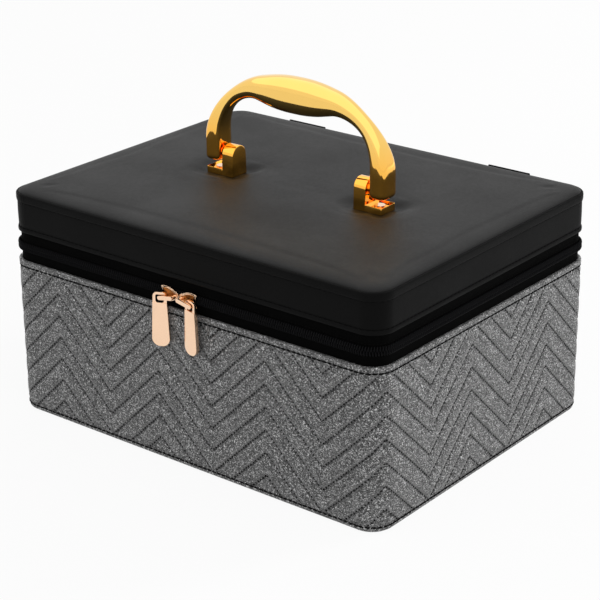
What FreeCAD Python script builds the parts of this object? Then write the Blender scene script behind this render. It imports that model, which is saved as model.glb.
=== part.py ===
import FreeCAD, Part
import math
import os

# Zip-round makeup case: a quilted box, a padded lid hinged along the back by a leather panel,
# a two-slider zip round the other three sides and a cast swing handle on the lid.
# Frame: origin at the middle of the underside, +X along the width, -Y to the front, +Z up. Millimetres.

V = FreeCAD.Vector
X_AXIS = V(1, 0, 0)
Y_AXIS = V(0, 1, 0)
Z_AXIS = V(0, 0, 1)

# --- driving dimensions: the case ---
case_width = 260.0
case_depth = 201.0
corner_radius = 13.3
base_height = 93.0
zip_band_height = 16.85
lid_height = 22.6
lip_proud = 0.5
base_lip_height = 3.1
lid_bottom_lip_height = 2.7
lid_top_lip_height = 4.7
lid_crown = 2.5
lid_crown_rolloff = 11.0

# --- driving dimensions: layers of the walls ---
cover_thickness = 1.6
band_thickness = 1.0
board_thickness = 2.2
lining_thickness = 1.0
floor_board_thickness = 3.0
bottom_cover_thickness = 1.5
bottom_edge_chamfer = 1.0
bottom_edge_lift = 0.4
top_board_thickness = 2.0
pad_thickness = 1.4
top_cover_thickness = 1.0
inner_foam_thickness = 4.5
seam_depth = 5.0

# --- driving dimensions: zip ---
tape_thickness = 0.8
coil_thickness = 2.2
coil_row_height = 2.4
chain_split = 1.2
zip_back_run = 14.0
seam_clearance = 0.2

# --- driving dimensions: sliders and pulls ---
slider_meet_x = 0.8
slider_gap = 0.6
slider_length = 12.1
slider_half_height = 3.6
slider_nose_radius = 2.4
slider_mouth_notch = 1.6
slider_edge_bulge = 1.1
slider_plate_thickness = 1.1
slider_clearance = 0.2
slider_post_length = 2.5
slider_post_setback = 2.0
bridge_tunnel = 3.0
bridge_thickness = 1.2
bridge_width = 2.2
pier_radius = 1.0
pier_setback = 1.75
pier_drop = 2.0
nose_pier_drop = 0.4
nose_pier_setback = 2.15
pull_length = 31.0
pull_thickness = 2.0
pull_ring_thickness = 1.4
pull_top_width = 7.6
pull_bottom_width = 10.4
pull_top_corner = 2.6
pull_bottom_corner = 4.4
pull_rim = 1.4
pull_window_width = 4.8
pull_window_height = 4.5
pull_window_corner = 1.0
pull_side_play = 0.85
pull_ring_clearance = 0.45
pull_left_yaw = 22.0
pull_right_yaw = -11.0

# --- driving dimensions: back hinge ---
hinge_standoff = 0.3
strap_width = 28.0
strap_thickness = 1.2
strap_centre_x = 74.0
strap_drop = 25.0
strap_rise = 0.8

# --- driving dimensions: handle and its brackets ---
handle_axis_rise = 12.0
grip_rise = 54.7
handle_leg_x = 58.3
bend_radius = 34.3
belly_outer = 10.3
belly_inner = 10.1
belly_depth = 16.3
waist_travel = 47.0
waist_outer = 3.8
waist_depth = 9.0
outer_ease = 1.2
depth_ease = 1.45
shoulder_travel = 31.0
shoulder_inner = 4.3
inner_ease = 2.2
leg_thickness = 10.8
leg_depth = 13.8
leg_end_rise = 7.7
leg_end_radius = 2.6
leg_joint_drop = 5.8
grip_squareness = 2.6
leg_squareness = 4.0
section_sides = 12
bracket_inner_x = 43.0
bracket_outer_x = 62.1
lug_thickness = 8.0
lug_top_radius = 5.7
bracket_half_depth = 6.4
bracket_plate_thickness = 4.0
bracket_edge_chamfer = 0.5
recess_depth = 1.8
recess_rim = 1.7
pin_radius = 2.0
pin_collar_radius = 3.6
pin_depth_in_leg = 5.0
pin_end_clearance = 0.3
pin_running_clearance = 0.05
screw_radius = 1.5
screw_head_radius = 3.0
screw_head_height = 1.3
stud_protrusion = 0.4
hardware_clearance = 0.2
backing_plate_thickness = 1.5
backing_plate_margin = 2.5
nut_across_flats = 5.5
nut_height = 2.4

# --- driving dimensions: dividers ---
divider_thickness = 5.0
divider_height = 62.0
divider_corner = 6.0
long_divider_y = 24.0
cross_divider_x = 41.0

# --- levels ---
floor_board_z = bottom_cover_thickness
wall_board_z = floor_board_z + floor_board_thickness
inner_floor_z = wall_board_z + lining_thickness
base_seam_z = base_height - seam_depth
chain_z = base_height + zip_band_height / 2
lid_bottom_z = base_height + zip_band_height
lid_seam_z = lid_bottom_z + seam_depth
lid_top_z = lid_bottom_z + lid_height
top_board_top_z = lid_top_z - top_cover_thickness - pad_thickness
top_board_z = top_board_top_z - top_board_thickness
inner_foam_z = top_board_z - inner_foam_thickness
lid_lining_z = inner_foam_z - lining_thickness
backing_plate_z = top_board_z - backing_plate_thickness
nut_z = backing_plate_z - nut_height
stud_end_z = nut_z - stud_protrusion
handle_axis_z = lid_top_z + handle_axis_rise
leg_joint_z = lid_top_z + grip_rise - bend_radius - leg_joint_drop
grip_half_straight = handle_leg_x - bend_radius
bend_end_travel = grip_half_straight + bend_radius * math.pi / 2
grip_stations = [grip_half_straight * share for share in (0, 0.5, 0.88)] + [
    grip_half_straight + bend_radius * math.radians(angle) for angle in (5, 13, 27, 46, 68)]

# --- insets of the wall layers from the outline of the case ---
lid_inset = cover_thickness - band_thickness
tape_inset = cover_thickness
tape_inner_inset = tape_inset + tape_thickness
board_inner_inset = cover_thickness + board_thickness
lining_inner_inset = board_inner_inset + lining_thickness
coil_outer_inset = tape_inset - coil_thickness
cavity_half_width = case_width / 2 - lining_inner_inset
cavity_half_depth = case_depth / 2 - lining_inner_inset
hinge_half_length = case_width / 2 - corner_radius - zip_back_run
hinge_y = case_depth / 2 + lip_proud + hinge_standoff

# --- zip planes, measured along -Y from the outer face of the front tape ---
tape_face_y = -(case_depth / 2 - tape_inset)
slider_plate_back = coil_thickness + slider_clearance
slider_plate_front = slider_plate_back + slider_plate_thickness
pull_plane = slider_plate_front + bridge_tunnel * 2 / 3
pier_u = slider_gap / 2 + slider_length - pier_setback
nose_pier_u = slider_gap / 2 + nose_pier_setback


# --- outlines and walls ---

def rounded_wire(inset, z):
    """Closed outline of the case, moved inwards by inset, at height z."""
    hx = case_width / 2 - inset
    hy = case_depth / 2 - inset
    r = max(corner_radius - inset, 0.5)
    k = r * (1 - math.sqrt(0.5))
    edges = []
    corners = [(1, -1), (1, 1), (-1, 1), (-1, -1)]
    for i, (sx, sy) in enumerate(corners):
        along_y = V(sx * hx, sy * (hy - r), z)
        along_x = V(sx * (hx - r), sy * hy, z)
        middle = V(sx * (hx - k), sy * (hy - k), z)
        first, last = (along_x, along_y) if sx * sy < 0 else (along_y, along_x)
        if edges:
            edges.append(Part.makeLine(edges[-1].Vertexes[-1].Point, first))
        edges.append(Part.Arc(first, middle, last).toShape())
    edges.append(Part.makeLine(edges[-1].Vertexes[-1].Point, edges[0].Vertexes[0].Point))
    return Part.Wire(edges)


def slab(inset, z_low, z_high):
    """Solid plate with the rounded outline of the case."""
    return Part.Face(rounded_wire(inset, z_low)).extrude(V(0, 0, z_high - z_low))


def wall(outer_inset, inner_inset, z_low, z_high):
    """Upright wall that follows the outline all the way round."""
    return slab(outer_inset, z_low, z_high).cut(slab(inner_inset, z_low, z_high))


def box(x_low, x_high, y_low, y_high, z_low, z_high):
    """Box between two limits on each axis."""
    return Part.makeBox(x_high - x_low, y_high - y_low, z_high - z_low, V(x_low, y_low, z_low))


def join(*solids):
    """One solid made of several that touch, without the seams between them."""
    whole = solids[0]
    for solid in solids[1:]:
        whole = whole.fuse(solid)
    return whole.removeSplitter()


def edges_along(solid, axis):
    """Straight edges of a solid that run along an axis."""
    found = []
    for edge in solid.Edges:
        if len(edge.Vertexes) == 2:
            run = edge.Vertexes[1].Point.sub(edge.Vertexes[0].Point)
            if run.Length > 0.01 and abs(abs(run.normalize().dot(axis)) - 1) < 1e-6:
                found.append(edge)
    return found


def both_sides(solid):
    """A solid for the right and its mirror image for the left."""
    return {"right": solid, "left": solid.mirror(V(0, 0, 0), X_AXIS)}


# --- base ---

def base_outer_cover():
    """Quilted side cover with a folded lip at the top and a turned-in bottom edge."""
    skin = slab(0, bottom_edge_lift, base_height)
    low_edges = [e for e in skin.Edges if abs(e.BoundBox.ZMax - bottom_edge_lift) < 0.01]
    skin = skin.makeChamfer(bottom_edge_chamfer, low_edges)
    lip = slab(-lip_proud, base_height - base_lip_height, base_height)
    return join(skin, lip).cut(slab(cover_thickness, 0, base_height))


def base_lining():
    """Fabric lining: floor, walls and the hem that is sewn to the zip."""
    shell = slab(board_inner_inset, wall_board_z, base_height)
    hem = slab(tape_inner_inset, base_seam_z, base_height)
    return join(shell, hem).cut(slab(lining_inner_inset, inner_floor_z, base_height))


def divider(length, top_corner):
    """Padded divider along X with rounded upper corners, standing on the lining."""
    panel = box(-length / 2, length / 2, -divider_thickness / 2, divider_thickness / 2,
                inner_floor_z, inner_floor_z + divider_height)
    top = [e for e in edges_along(panel, Y_AXIS) if e.BoundBox.ZMin > inner_floor_z + 1]
    return panel.makeFillet(top_corner, top)


def cross_divider(x):
    """Divider from the front lining to the long divider."""
    y_front = -cavity_half_depth
    y_back = long_divider_y - divider_thickness / 2
    panel = divider(y_back - y_front, divider_corner)
    panel.rotate(V(0, 0, 0), Z_AXIS, 90)
    panel.translate(V(x, (y_front + y_back) / 2, 0))
    return panel


def long_divider():
    """Divider from the left lining to the right one."""
    panel = divider(2 * cavity_half_width, divider_corner)
    panel.translate(V(0, long_divider_y, 0))
    return panel


def build_base():
    """Every piece of the base but the zip and the hinge."""
    return {
        "base_outer_cover": base_outer_cover(),
        "base_bottom_cover": slab(cover_thickness, 0, bottom_cover_thickness),
        "base_floor_board": slab(cover_thickness, floor_board_z, wall_board_z),
        "base_wall_board": wall(cover_thickness, board_inner_inset, wall_board_z, base_seam_z),
        "base_lining": base_lining(),
        "divider_long": long_divider(),
        "divider_cross_left": cross_divider(-cross_divider_x),
        "divider_cross_right": cross_divider(cross_divider_x),
    }


# --- zip tape, coil and the hinge at the back ---

def zip_run(solid):
    """What is left of an all-round wall when the hinge takes the middle of the back."""
    half = hinge_half_length + seam_clearance
    return solid.cut(box(-half, half, 0, case_depth, solid.BoundBox.ZMin - 1, solid.BoundBox.ZMax + 1))


def build_zip():
    """Both tapes, sewn into the walls, with a row of coil on each."""
    half_split = chain_split / 2
    low_edge = chain_z - half_split
    high_edge = chain_z + half_split
    return {
        "zip_tape_lower": zip_run(wall(tape_inset, tape_inner_inset, base_seam_z, low_edge)),
        "zip_tape_upper": zip_run(wall(tape_inset, tape_inner_inset, high_edge, lid_seam_z)),
        "zip_coil_lower": zip_run(wall(coil_outer_inset, tape_inset, low_edge - coil_row_height, low_edge)),
        "zip_coil_upper": zip_run(wall(coil_outer_inset, tape_inset, high_edge, high_edge + coil_row_height)),
    }


def hinge_strap(x):
    """Leather strap sewn down the back from the lid's top edge to the base."""
    back = case_depth / 2 + lip_proud
    return box(x - strap_width / 2, x + strap_width / 2, back, back + strap_thickness,
               base_height - strap_drop, lid_top_z + strap_rise)


def build_hinge():
    """The flexible panel that joins lid and base, and its two straps."""
    back = case_depth / 2 - tape_inset
    return {
        "hinge_panel": box(-hinge_half_length, hinge_half_length, back - tape_thickness, back,
                           base_seam_z, lid_seam_z),
        "hinge_strap_left": hinge_strap(-strap_centre_x),
        "hinge_strap_right": hinge_strap(strap_centre_x),
    }


# --- lid ---

def bracket_footprint(margin, z_low, z_high):
    """Box round the right bracket's foot, larger by a margin."""
    return box(bracket_inner_x - margin, bracket_outer_x + margin,
               -bracket_half_depth - margin, bracket_half_depth + margin, z_low, z_high)


def fixing_points():
    """Centres of the two fixings of the right bracket: the cast stud and the screw."""
    stud_x = bracket_inner_x + lug_thickness / 2
    screw_x = (bracket_inner_x + lug_thickness + bracket_outer_x) / 2
    return [V(stud_x, 0, 0), V(screw_x, 0, 0)]


def fixing_holes(z_low, z_high):
    """Clearance holes for every stud and screw, left and right."""
    holes = []
    for point in fixing_points():
        for side in (-1, 1):
            centre = V(side * point.x, point.y, z_low)
            holes.append(Part.makeCylinder(screw_radius + hardware_clearance, z_high - z_low, centre))
    return Part.makeCompound(holes)


def fixing_slots(z_low, z_high):
    """Slots in the layers of the lid's top, one round both fixings of each bracket."""
    stud_point, screw_point = fixing_points()
    reach = screw_radius + hardware_clearance
    slot = box(stud_point.x - reach, screw_point.x + reach, -reach, reach, z_low, z_high)
    return Part.makeCompound(list(both_sides(slot).values()))


def lid_side_band():
    """Side band of the lid with a stitched lip along each edge."""
    band = slab(lid_inset, lid_bottom_z, lid_top_z)
    bottom_lip = slab(lid_inset - lip_proud, lid_bottom_z, lid_bottom_z + lid_bottom_lip_height)
    top_lip = slab(lid_inset - lip_proud, lid_top_z - lid_top_lip_height, lid_top_z)
    return join(band, bottom_lip, top_lip).cut(slab(cover_thickness, lid_bottom_z, lid_top_z))


def lid_top_cover():
    """Padded top: a crowned cover, pressed flat under the handle's two brackets."""
    z_low = lid_top_z - top_cover_thickness
    crown_z = lid_top_z + lid_crown
    outlines = [rounded_wire(cover_thickness, lid_top_z),
                rounded_wire(cover_thickness + lid_crown_rolloff / 4, lid_top_z + lid_crown * 0.65),
                rounded_wire(cover_thickness + lid_crown_rolloff, crown_z)]
    cover = slab(cover_thickness, z_low, lid_top_z)
    for low, high in zip(outlines, outlines[1:]):
        cover = cover.fuse(Part.makeLoft([low, high], True, True))
    cover = cover.removeSplitter()
    dimple = bracket_footprint(1.0, lid_top_z, crown_z + 1)
    for pocket in both_sides(dimple).values():
        cover = cover.cut(pocket)
    return cover.cut(fixing_slots(z_low, crown_z))


def lid_lining():
    """Fabric lining of the lid with the hem that is sewn to the zip."""
    shell = slab(board_inner_inset, lid_bottom_z, inner_foam_z)
    hem = slab(tape_inner_inset, lid_bottom_z, lid_seam_z)
    return join(shell, hem).cut(slab(lining_inner_inset, lid_bottom_z, lid_lining_z))


def backing_plate():
    """Steel plate under the top board that spreads the load of the right bracket."""
    plate = bracket_footprint(backing_plate_margin, backing_plate_z, top_board_z)
    plate = plate.makeChamfer(backing_plate_margin, edges_along(plate, Z_AXIS))
    return plate.cut(fixing_holes(backing_plate_z, top_board_z))


def nut(centre):
    """Hexagon nut under the backing plate."""
    corner = V(nut_across_flats / math.sqrt(3), 0, nut_z)
    points = []
    for i in range(7):
        turn = FreeCAD.Rotation(Z_AXIS, 60 * i)
        points.append(centre + turn.multVec(corner))
    body = Part.Face(Part.makePolygon(points)).extrude(V(0, 0, nut_height))
    return body.cut(Part.makeCylinder(screw_radius, nut_height, centre + V(0, 0, nut_z)))


def lid_inner_foam():
    """Foam behind the lid's lining, hollowed round the bracket hardware."""
    foam = slab(board_inner_inset, inner_foam_z, top_board_z)
    pocket = bracket_footprint(backing_plate_margin + hardware_clearance, inner_foam_z, top_board_z)
    for hollow in both_sides(pocket).values():
        foam = foam.cut(hollow)
    return foam


def build_lid():
    """Every piece of the lid but the zip, the brackets and the handle."""
    pad_z = top_board_top_z
    slots = fixing_slots(top_board_z, lid_top_z)
    plates = both_sides(backing_plate())
    nuts = [nut(V(side * point.x, point.y, 0)) for point in fixing_points() for side in (-1, 1)]
    return {
        "lid_side_band": lid_side_band(),
        "lid_side_board": wall(cover_thickness, board_inner_inset, lid_seam_z, top_board_z),
        "lid_top_board": slab(cover_thickness, top_board_z, top_board_top_z).cut(slots),
        "lid_top_pad": slab(cover_thickness, pad_z, pad_z + pad_thickness).cut(slots),
        "lid_top_cover": lid_top_cover(),
        "lid_inner_foam": lid_inner_foam(),
        "lid_lining": lid_lining(),
        "handle_backing_plate_left": plates["left"],
        "handle_backing_plate_right": plates["right"],
        "handle_nuts": Part.makeCompound(nuts),
    }


# --- handle and brackets ---

def lug_profile():
    """Upright face of the right bracket's lug: straight flanks that close in to a round head."""
    x = bracket_inner_x
    foot = bracket_half_depth
    top = lug_top_radius
    z = handle_axis_z
    head = Part.Arc(V(x, -top, z), V(x, 0, z + top), V(x, top, z)).toShape()
    sides = [Part.makeLine(V(x, top, z), V(x, foot, lid_top_z)),
             Part.makeLine(V(x, foot, lid_top_z), V(x, -foot, lid_top_z)),
             Part.makeLine(V(x, -foot, lid_top_z), V(x, -top, z))]
    return Part.Face(Part.Wire([head] + sides))


def bracket():
    """Cast right bracket: a round-headed lug, a low plate with a recess, and a stud below the lug."""
    lug = lug_profile().extrude(V(lug_thickness, 0, 0))
    rims = [e for e in lug.Edges if e.BoundBox.XLength < 0.01 and e.BoundBox.ZMax > lid_top_z + 1]
    lug = lug.makeChamfer(bracket_edge_chamfer, rims)
    plate = bracket_footprint(0, lid_top_z, lid_top_z + bracket_plate_thickness)
    outer = [e for e in edges_along(plate, Z_AXIS) if e.BoundBox.XMin > bracket_outer_x - 0.01]
    plate = plate.makeChamfer(bracket_edge_chamfer, outer)
    recess_x = bracket_inner_x + lug_thickness + recess_rim / 2
    recess_z = lid_top_z + bracket_plate_thickness - recess_depth
    recess = box(recess_x, bracket_outer_x - recess_rim, recess_rim - bracket_half_depth,
                 bracket_half_depth - recess_rim, recess_z, handle_axis_z)
    stud_point, screw_point = fixing_points()
    stud = Part.makeCylinder(screw_radius, lid_top_z - stud_end_z, V(stud_point.x, 0, stud_end_z))
    screw_hole = Part.makeCylinder(screw_radius + hardware_clearance, bracket_plate_thickness,
                                   V(screw_point.x, 0, lid_top_z))
    pin_hole = Part.makeCylinder(pin_radius, lug_thickness, V(bracket_inner_x, 0, handle_axis_z), X_AXIS)
    blind = pin_hole.common(box(bracket_inner_x + lug_thickness / 3, bracket_outer_x,
                                -pin_radius, pin_radius, lid_top_z, handle_axis_z + pin_radius))
    return join(lug, plate.cut(recess), stud).cut(screw_hole).cut(blind)


def screw():
    """Flat-headed screw in the right bracket's recess, down to the nut."""
    point = fixing_points()[1]
    head_z = lid_top_z + bracket_plate_thickness - recess_depth
    head = Part.makeCylinder(screw_head_radius, screw_head_height, V(point.x, 0, head_z))
    shank = Part.makeCylinder(screw_radius, head_z - stud_end_z, V(point.x, 0, stud_end_z))
    return join(head, shank)


def pivot_pin():
    """Pin pressed into the right lug, with a collar that spaces the leg from it."""
    leg_face = handle_leg_x - leg_thickness / 2
    lug_face = bracket_inner_x + lug_thickness
    start = bracket_inner_x + lug_thickness / 3
    tip = leg_face + pin_depth_in_leg - pin_end_clearance
    shaft = Part.makeCylinder(pin_radius, tip - start, V(start, 0, handle_axis_z), X_AXIS)
    collar_length = leg_face - pin_end_clearance - lug_face
    collar = Part.makeCylinder(pin_collar_radius, collar_length, V(lug_face, 0, handle_axis_z), X_AXIS)
    return join(shaft, collar)


def section(centre, direction, thickness, depth, squareness):
    """Closed section of the handle square to a direction in the XZ plane: a rounded oblong with flats."""
    across = V(-direction.z, 0, direction.x)
    points = []
    for i in range(section_sides):
        angle = 2 * math.pi * (i + 0.5) / section_sides
        c = math.cos(angle)
        s = math.sin(angle)
        reach = (abs(c) ** squareness + abs(s) ** squareness) ** (-1 / squareness)
        points.append(centre + across * (thickness / 2 * reach * c) + Y_AXIS * (depth / 2 * reach * s))
    return Part.makePolygon(points + points[:1])


def ease(low, high, share):
    """Value part of the way from low to high, easing in and out."""
    return low + (high - low) * (1 - math.cos(math.pi * min(max(share, 0), 1))) / 2


def handle_size(travel):
    """Half thickness outwards and inwards, depth and squareness at a travel from the middle of the grip."""
    run_in = max(travel - waist_travel, 0) / (bend_end_travel - waist_travel)
    if run_in > 0:
        outer = ease(waist_outer, leg_thickness / 2, run_in)
        depth = ease(waist_depth, leg_depth, run_in)
    else:
        outer = ease(belly_outer, waist_outer, (travel / waist_travel) ** outer_ease)
        depth = ease(belly_depth, waist_depth, (travel / waist_travel) ** depth_ease)
    if travel > shoulder_travel:
        share = (travel - shoulder_travel) / (bend_end_travel - shoulder_travel)
        inner = ease(shoulder_inner, leg_thickness / 2, share ** inner_ease)
    else:
        inner = ease(belly_inner, shoulder_inner, (travel / shoulder_travel) ** inner_ease)
    return outer, inner, depth, ease(grip_squareness, leg_squareness, run_in)


def handle_line(travel):
    """Point and direction of the handle's centreline at a travel from the middle of the grip."""
    turn = min(max(travel - grip_half_straight, 0) / bend_radius, math.pi / 2)
    run = min(travel, grip_half_straight)
    drop = max(travel - bend_end_travel, 0)
    point = V(run + bend_radius * math.sin(turn), 0,
              lid_top_z + grip_rise - bend_radius * (1 - math.cos(turn)) - drop)
    return point, V(math.cos(turn), 0, -math.sin(turn))


def grip():
    """Smooth loft from one leg over the belly to the other leg."""
    half = []
    for travel in grip_stations + [bend_end_travel, bend_end_travel + leg_joint_drop]:
        outer, inner, depth, squareness = handle_size(travel)
        point, direction = handle_line(travel)
        out = V(-direction.z, 0, direction.x)
        half.append((point + out * ((outer - inner) / 2), direction, outer + inner, depth, squareness))
    mirrored = [(V(-c.x, 0, c.z), V(d.x, 0, -d.z)) + tuple(size) for c, d, *size in reversed(half[1:])]
    return Part.makeLoft([section(*station) for station in mirrored + half], True, False)


def leg():
    """Lower end of the right leg, from a little under the bend down to its rounded end."""
    end_z = lid_top_z + leg_end_rise
    stations = [(leg_joint_z, 0), (end_z + leg_end_radius, 0)]
    for turn in (math.radians(50), math.radians(90)):
        stations.append((end_z + leg_end_radius * (1 - math.sin(turn)), leg_end_radius * (1 - math.cos(turn))))
    wires = [section(V(handle_leg_x, 0, z), -Z_AXIS, leg_thickness - 2 * inset, leg_depth - 2 * inset,
                     leg_squareness) for z, inset in stations]
    return Part.makeLoft(wires, True, True)


def handle():
    """Cast grip with a swelling belly and two legs, bored for the pivot pins."""
    casting = join(grip(), *both_sides(leg()).values())
    leg_face = handle_leg_x - leg_thickness / 2
    bore_start = leg_face - 1
    bore = Part.makeCylinder(pin_radius + pin_running_clearance, pin_depth_in_leg + 1,
                             V(bore_start, 0, handle_axis_z), X_AXIS)
    for hole in both_sides(bore).values():
        casting = casting.cut(hole)
    return casting


def build_handle():
    """The handle and everything that carries it."""
    brackets = both_sides(bracket())
    pins = both_sides(pivot_pin())
    return {
        "handle": handle(),
        "handle_bracket_left": brackets["left"],
        "handle_bracket_right": brackets["right"],
        "handle_pivot_pin_left": pins["left"],
        "handle_pivot_pin_right": pins["right"],
        "handle_screws": Part.makeCompound(list(both_sides(screw()).values())),
    }


# --- sliders and pulls, built for the right and measured outwards from where the sliders meet ---

def slider_outline(y):
    """Leaf-shaped plate: a round nose, bulging edges and a notched mouth with pointed corners."""
    nose_u = slider_gap / 2 + slider_nose_radius
    end_u = slider_gap / 2 + slider_length
    r = slider_nose_radius
    h = slider_half_height
    mid_u = (nose_u + end_u) / 2
    mid_h = (r + h) / 2 + slider_edge_bulge
    nose = Part.Arc(V(nose_u, y, r), V(nose_u - r, y, 0), V(nose_u, y, -r)).toShape()
    low = Part.Arc(V(nose_u, y, -r), V(mid_u, y, -mid_h), V(end_u, y, -h)).toShape()
    mouth = [Part.makeLine(V(end_u, y, -h), V(end_u - slider_mouth_notch, y, 0)),
             Part.makeLine(V(end_u - slider_mouth_notch, y, 0), V(end_u, y, h))]
    high = Part.Arc(V(end_u, y, h), V(mid_u, y, mid_h), V(nose_u, y, r)).toShape()
    return Part.Wire([nose, low] + mouth + [high])


def slider_prism(back, front):
    """Slider outline extruded between two distances in front of the tape's face."""
    return Part.Face(slider_outline(-back)).extrude(V(0, back - front, 0))


def bridge():
    """Bridge on two round piers, under which the pull's ring swings."""
    height = bridge_tunnel + bridge_thickness
    ends = [V(pier_u, -slider_plate_front, -pier_drop), V(nose_pier_u, -slider_plate_front, -nose_pier_drop)]
    piers = [Part.makeCylinder(pier_radius, height, end, V(0, -1, 0)) for end in ends]
    bar_back = -slider_plate_front - bridge_tunnel
    half = bridge_width / 2
    run = V(ends[1] - ends[0])
    side = V(-run.z, 0, run.x).normalize() * half
    along = V(run).normalize() * half
    a, b = [V(end.x, bar_back, end.z) for end in ends]
    bar_wire = Part.Wire([
        Part.makeLine(a + side, b + side), Part.Arc(b + side, b + along, b - side).toShape(),
        Part.makeLine(b - side, a - side), Part.Arc(a - side, a - along, a + side).toShape()])
    bar = Part.Face(bar_wire).extrude(V(0, -bridge_thickness, 0))
    return join(bar, *piers)


def slider():
    """Right slider: front and rear plates, the post between them, one guide flange and the bridge."""
    end_u = slider_gap / 2 + slider_length
    coil_edge = chain_split / 2 + coil_row_height + slider_clearance
    front = slider_prism(slider_plate_back, slider_plate_front)
    rear_gap = tape_thickness + slider_clearance
    rear = slider_prism(-rear_gap, -rear_gap - slider_plate_thickness)
    post_half = chain_split / 2 - slider_clearance
    post_end = end_u - slider_post_setback
    post = box(post_end - slider_post_length, post_end, -slider_plate_back, rear_gap, -post_half, post_half)
    skirt = slider_prism(slider_clearance, slider_plate_back)
    flange = skirt.common(box(0, end_u, -slider_plate_back, 0, -2 * slider_half_height, -coil_edge))
    rear = rear.common(box(0, end_u, 0, case_depth, -coil_edge, coil_edge))
    return join(front, post, rear, flange, bridge())


def pull(centre_u, yaw):
    """Tapered pull with a ring window that hangs on the bridge's outer pier."""
    top = pull_rim + pier_radius + pull_ring_clearance
    tip = top - pull_length
    half_top = pull_top_width / 2
    half_tip = pull_bottom_width / 2
    y = pull_thickness / 2
    corners = [V(-half_top, y, top), V(half_top, y, top), V(half_tip, y, tip), V(-half_tip, y, tip)]
    tab = Part.Face(Part.makePolygon(corners + corners[:1])).extrude(V(0, -pull_thickness, 0))
    upper = [e for e in edges_along(tab, Y_AXIS) if e.BoundBox.ZMin > 0]
    tab = tab.makeFillet(pull_top_corner, upper)
    lower = [e for e in edges_along(tab, Y_AXIS) if e.BoundBox.ZMax < tip + 0.1]
    tab = tab.makeFillet(pull_bottom_corner, lower)
    window_top = top - pull_rim
    window = box(-pull_window_width / 2, pull_window_width / 2, -y, y, window_top - pull_window_height, window_top)
    window = window.makeFillet(pull_window_corner, edges_along(window, Y_AXIS))
    ring_low = window_top - pull_window_height
    ring_half = pull_ring_thickness / 2
    shave = box(-half_tip, half_tip, ring_half, y, ring_low, top)
    tab = tab.cut(window).cut(shave).cut(shave.mirror(V(0, 0, 0), Y_AXIS))
    tab.translate(V(centre_u - pier_u, 0, 0))
    tab.rotate(V(0, 0, 0), Z_AXIS, yaw)
    tab.translate(V(pier_u, -pull_plane, -pier_drop))
    return tab


def build_sliders():
    """Two mirrored sliders that meet near the middle of the front, each with its own pull."""
    hands = {"right": (slider(), pull(pier_u - pull_side_play, pull_right_yaw)),
             "left": (slider(), pull(pier_u + pull_side_play, -pull_left_yaw))}
    pieces = {}
    for name, (body, tab) in hands.items():
        for kind, solid in (("slider", body), ("pull", tab)):
            if name == "left":
                solid = solid.mirror(V(0, 0, 0), X_AXIS)
            solid.translate(V(slider_meet_x, tape_face_y, chain_z))
            pieces["zip_%s_%s" % (kind, name)] = solid
    return pieces


def main():
    """Build every piece and write one STEP file for each."""
    os.makedirs("parts", exist_ok=True)
    for pieces in (build_base(), build_zip(), build_hinge(), build_lid(), build_handle(), build_sliders()):
        for name, solid in pieces.items():
            solid.exportStep("parts/%s.step" % name)


main()
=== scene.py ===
import logging
import math
from dataclasses import dataclass, field
from enum import Enum
from typing import Any, Callable, Sequence

import bmesh
import bpy
from mathutils import Matrix, Vector, noise


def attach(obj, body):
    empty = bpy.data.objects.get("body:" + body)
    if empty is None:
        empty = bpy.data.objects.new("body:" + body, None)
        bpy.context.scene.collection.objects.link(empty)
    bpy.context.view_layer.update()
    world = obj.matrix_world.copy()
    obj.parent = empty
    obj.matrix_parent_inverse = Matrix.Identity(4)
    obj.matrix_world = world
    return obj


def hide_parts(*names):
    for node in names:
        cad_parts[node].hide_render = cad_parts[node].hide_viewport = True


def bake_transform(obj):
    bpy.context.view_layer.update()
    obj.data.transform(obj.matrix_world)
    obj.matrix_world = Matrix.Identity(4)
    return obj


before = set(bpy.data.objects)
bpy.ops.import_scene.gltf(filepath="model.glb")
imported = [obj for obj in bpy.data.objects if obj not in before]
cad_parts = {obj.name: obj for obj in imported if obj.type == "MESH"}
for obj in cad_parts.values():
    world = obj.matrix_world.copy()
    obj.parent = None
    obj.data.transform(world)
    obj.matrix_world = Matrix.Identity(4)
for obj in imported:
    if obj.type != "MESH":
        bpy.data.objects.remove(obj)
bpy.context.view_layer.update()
LOG = logging.getLogger("makeup_case")
MM = 0.001
TOUCHING = 0.001
UV_NAME = "cloth"


class Body(Enum):
    """Bodies that pieces ride on."""

    BASE = "base"
    LID = "lid"
    HANDLE = "handle"
    SLIDER_LEFT = "slider_left"
    SLIDER_RIGHT = "slider_right"
    PULL_LEFT = "pull_left"
    PULL_RIGHT = "pull_right"


class Side(Enum):
    """Left or right half of the case, as the sign of X."""

    LEFT = -1
    RIGHT = 1

    @property
    def word(self) -> str:
        """The side's name as the nodes spell it."""
        return self.name.lower()


class Coordinate(Enum):
    """Coordinates that a finish may read."""

    OBJECT = "Object"
    UV = "UV"


# --- shader maths ---

class Signal:
    """A socket of a material's nodes, on which Python's operators add Math nodes."""

    def __init__(self, bench: "Bench", socket: bpy.types.NodeSocket) -> None:
        """Keeps the bench and the socket."""
        self.bench = bench
        self.socket = socket

    def __add__(self, other: Any) -> "Signal":
        """Sum."""
        return self.bench.math("ADD", self, other)

    def __sub__(self, other: Any) -> "Signal":
        """Difference."""
        return self.bench.math("SUBTRACT", self, other)

    def __rsub__(self, other: Any) -> "Signal":
        """Difference from a number."""
        return self.bench.math("SUBTRACT", other, self)

    def __mul__(self, other: Any) -> "Signal":
        """Product."""
        return self.bench.math("MULTIPLY", self, other)

    def __truediv__(self, other: Any) -> "Signal":
        """Quotient."""
        return self.bench.math("DIVIDE", self, other)

    def __rtruediv__(self, other: Any) -> "Signal":
        """Quotient of a number."""
        return self.bench.math("DIVIDE", other, self)

    __radd__ = __add__
    __rmul__ = __mul__


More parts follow.
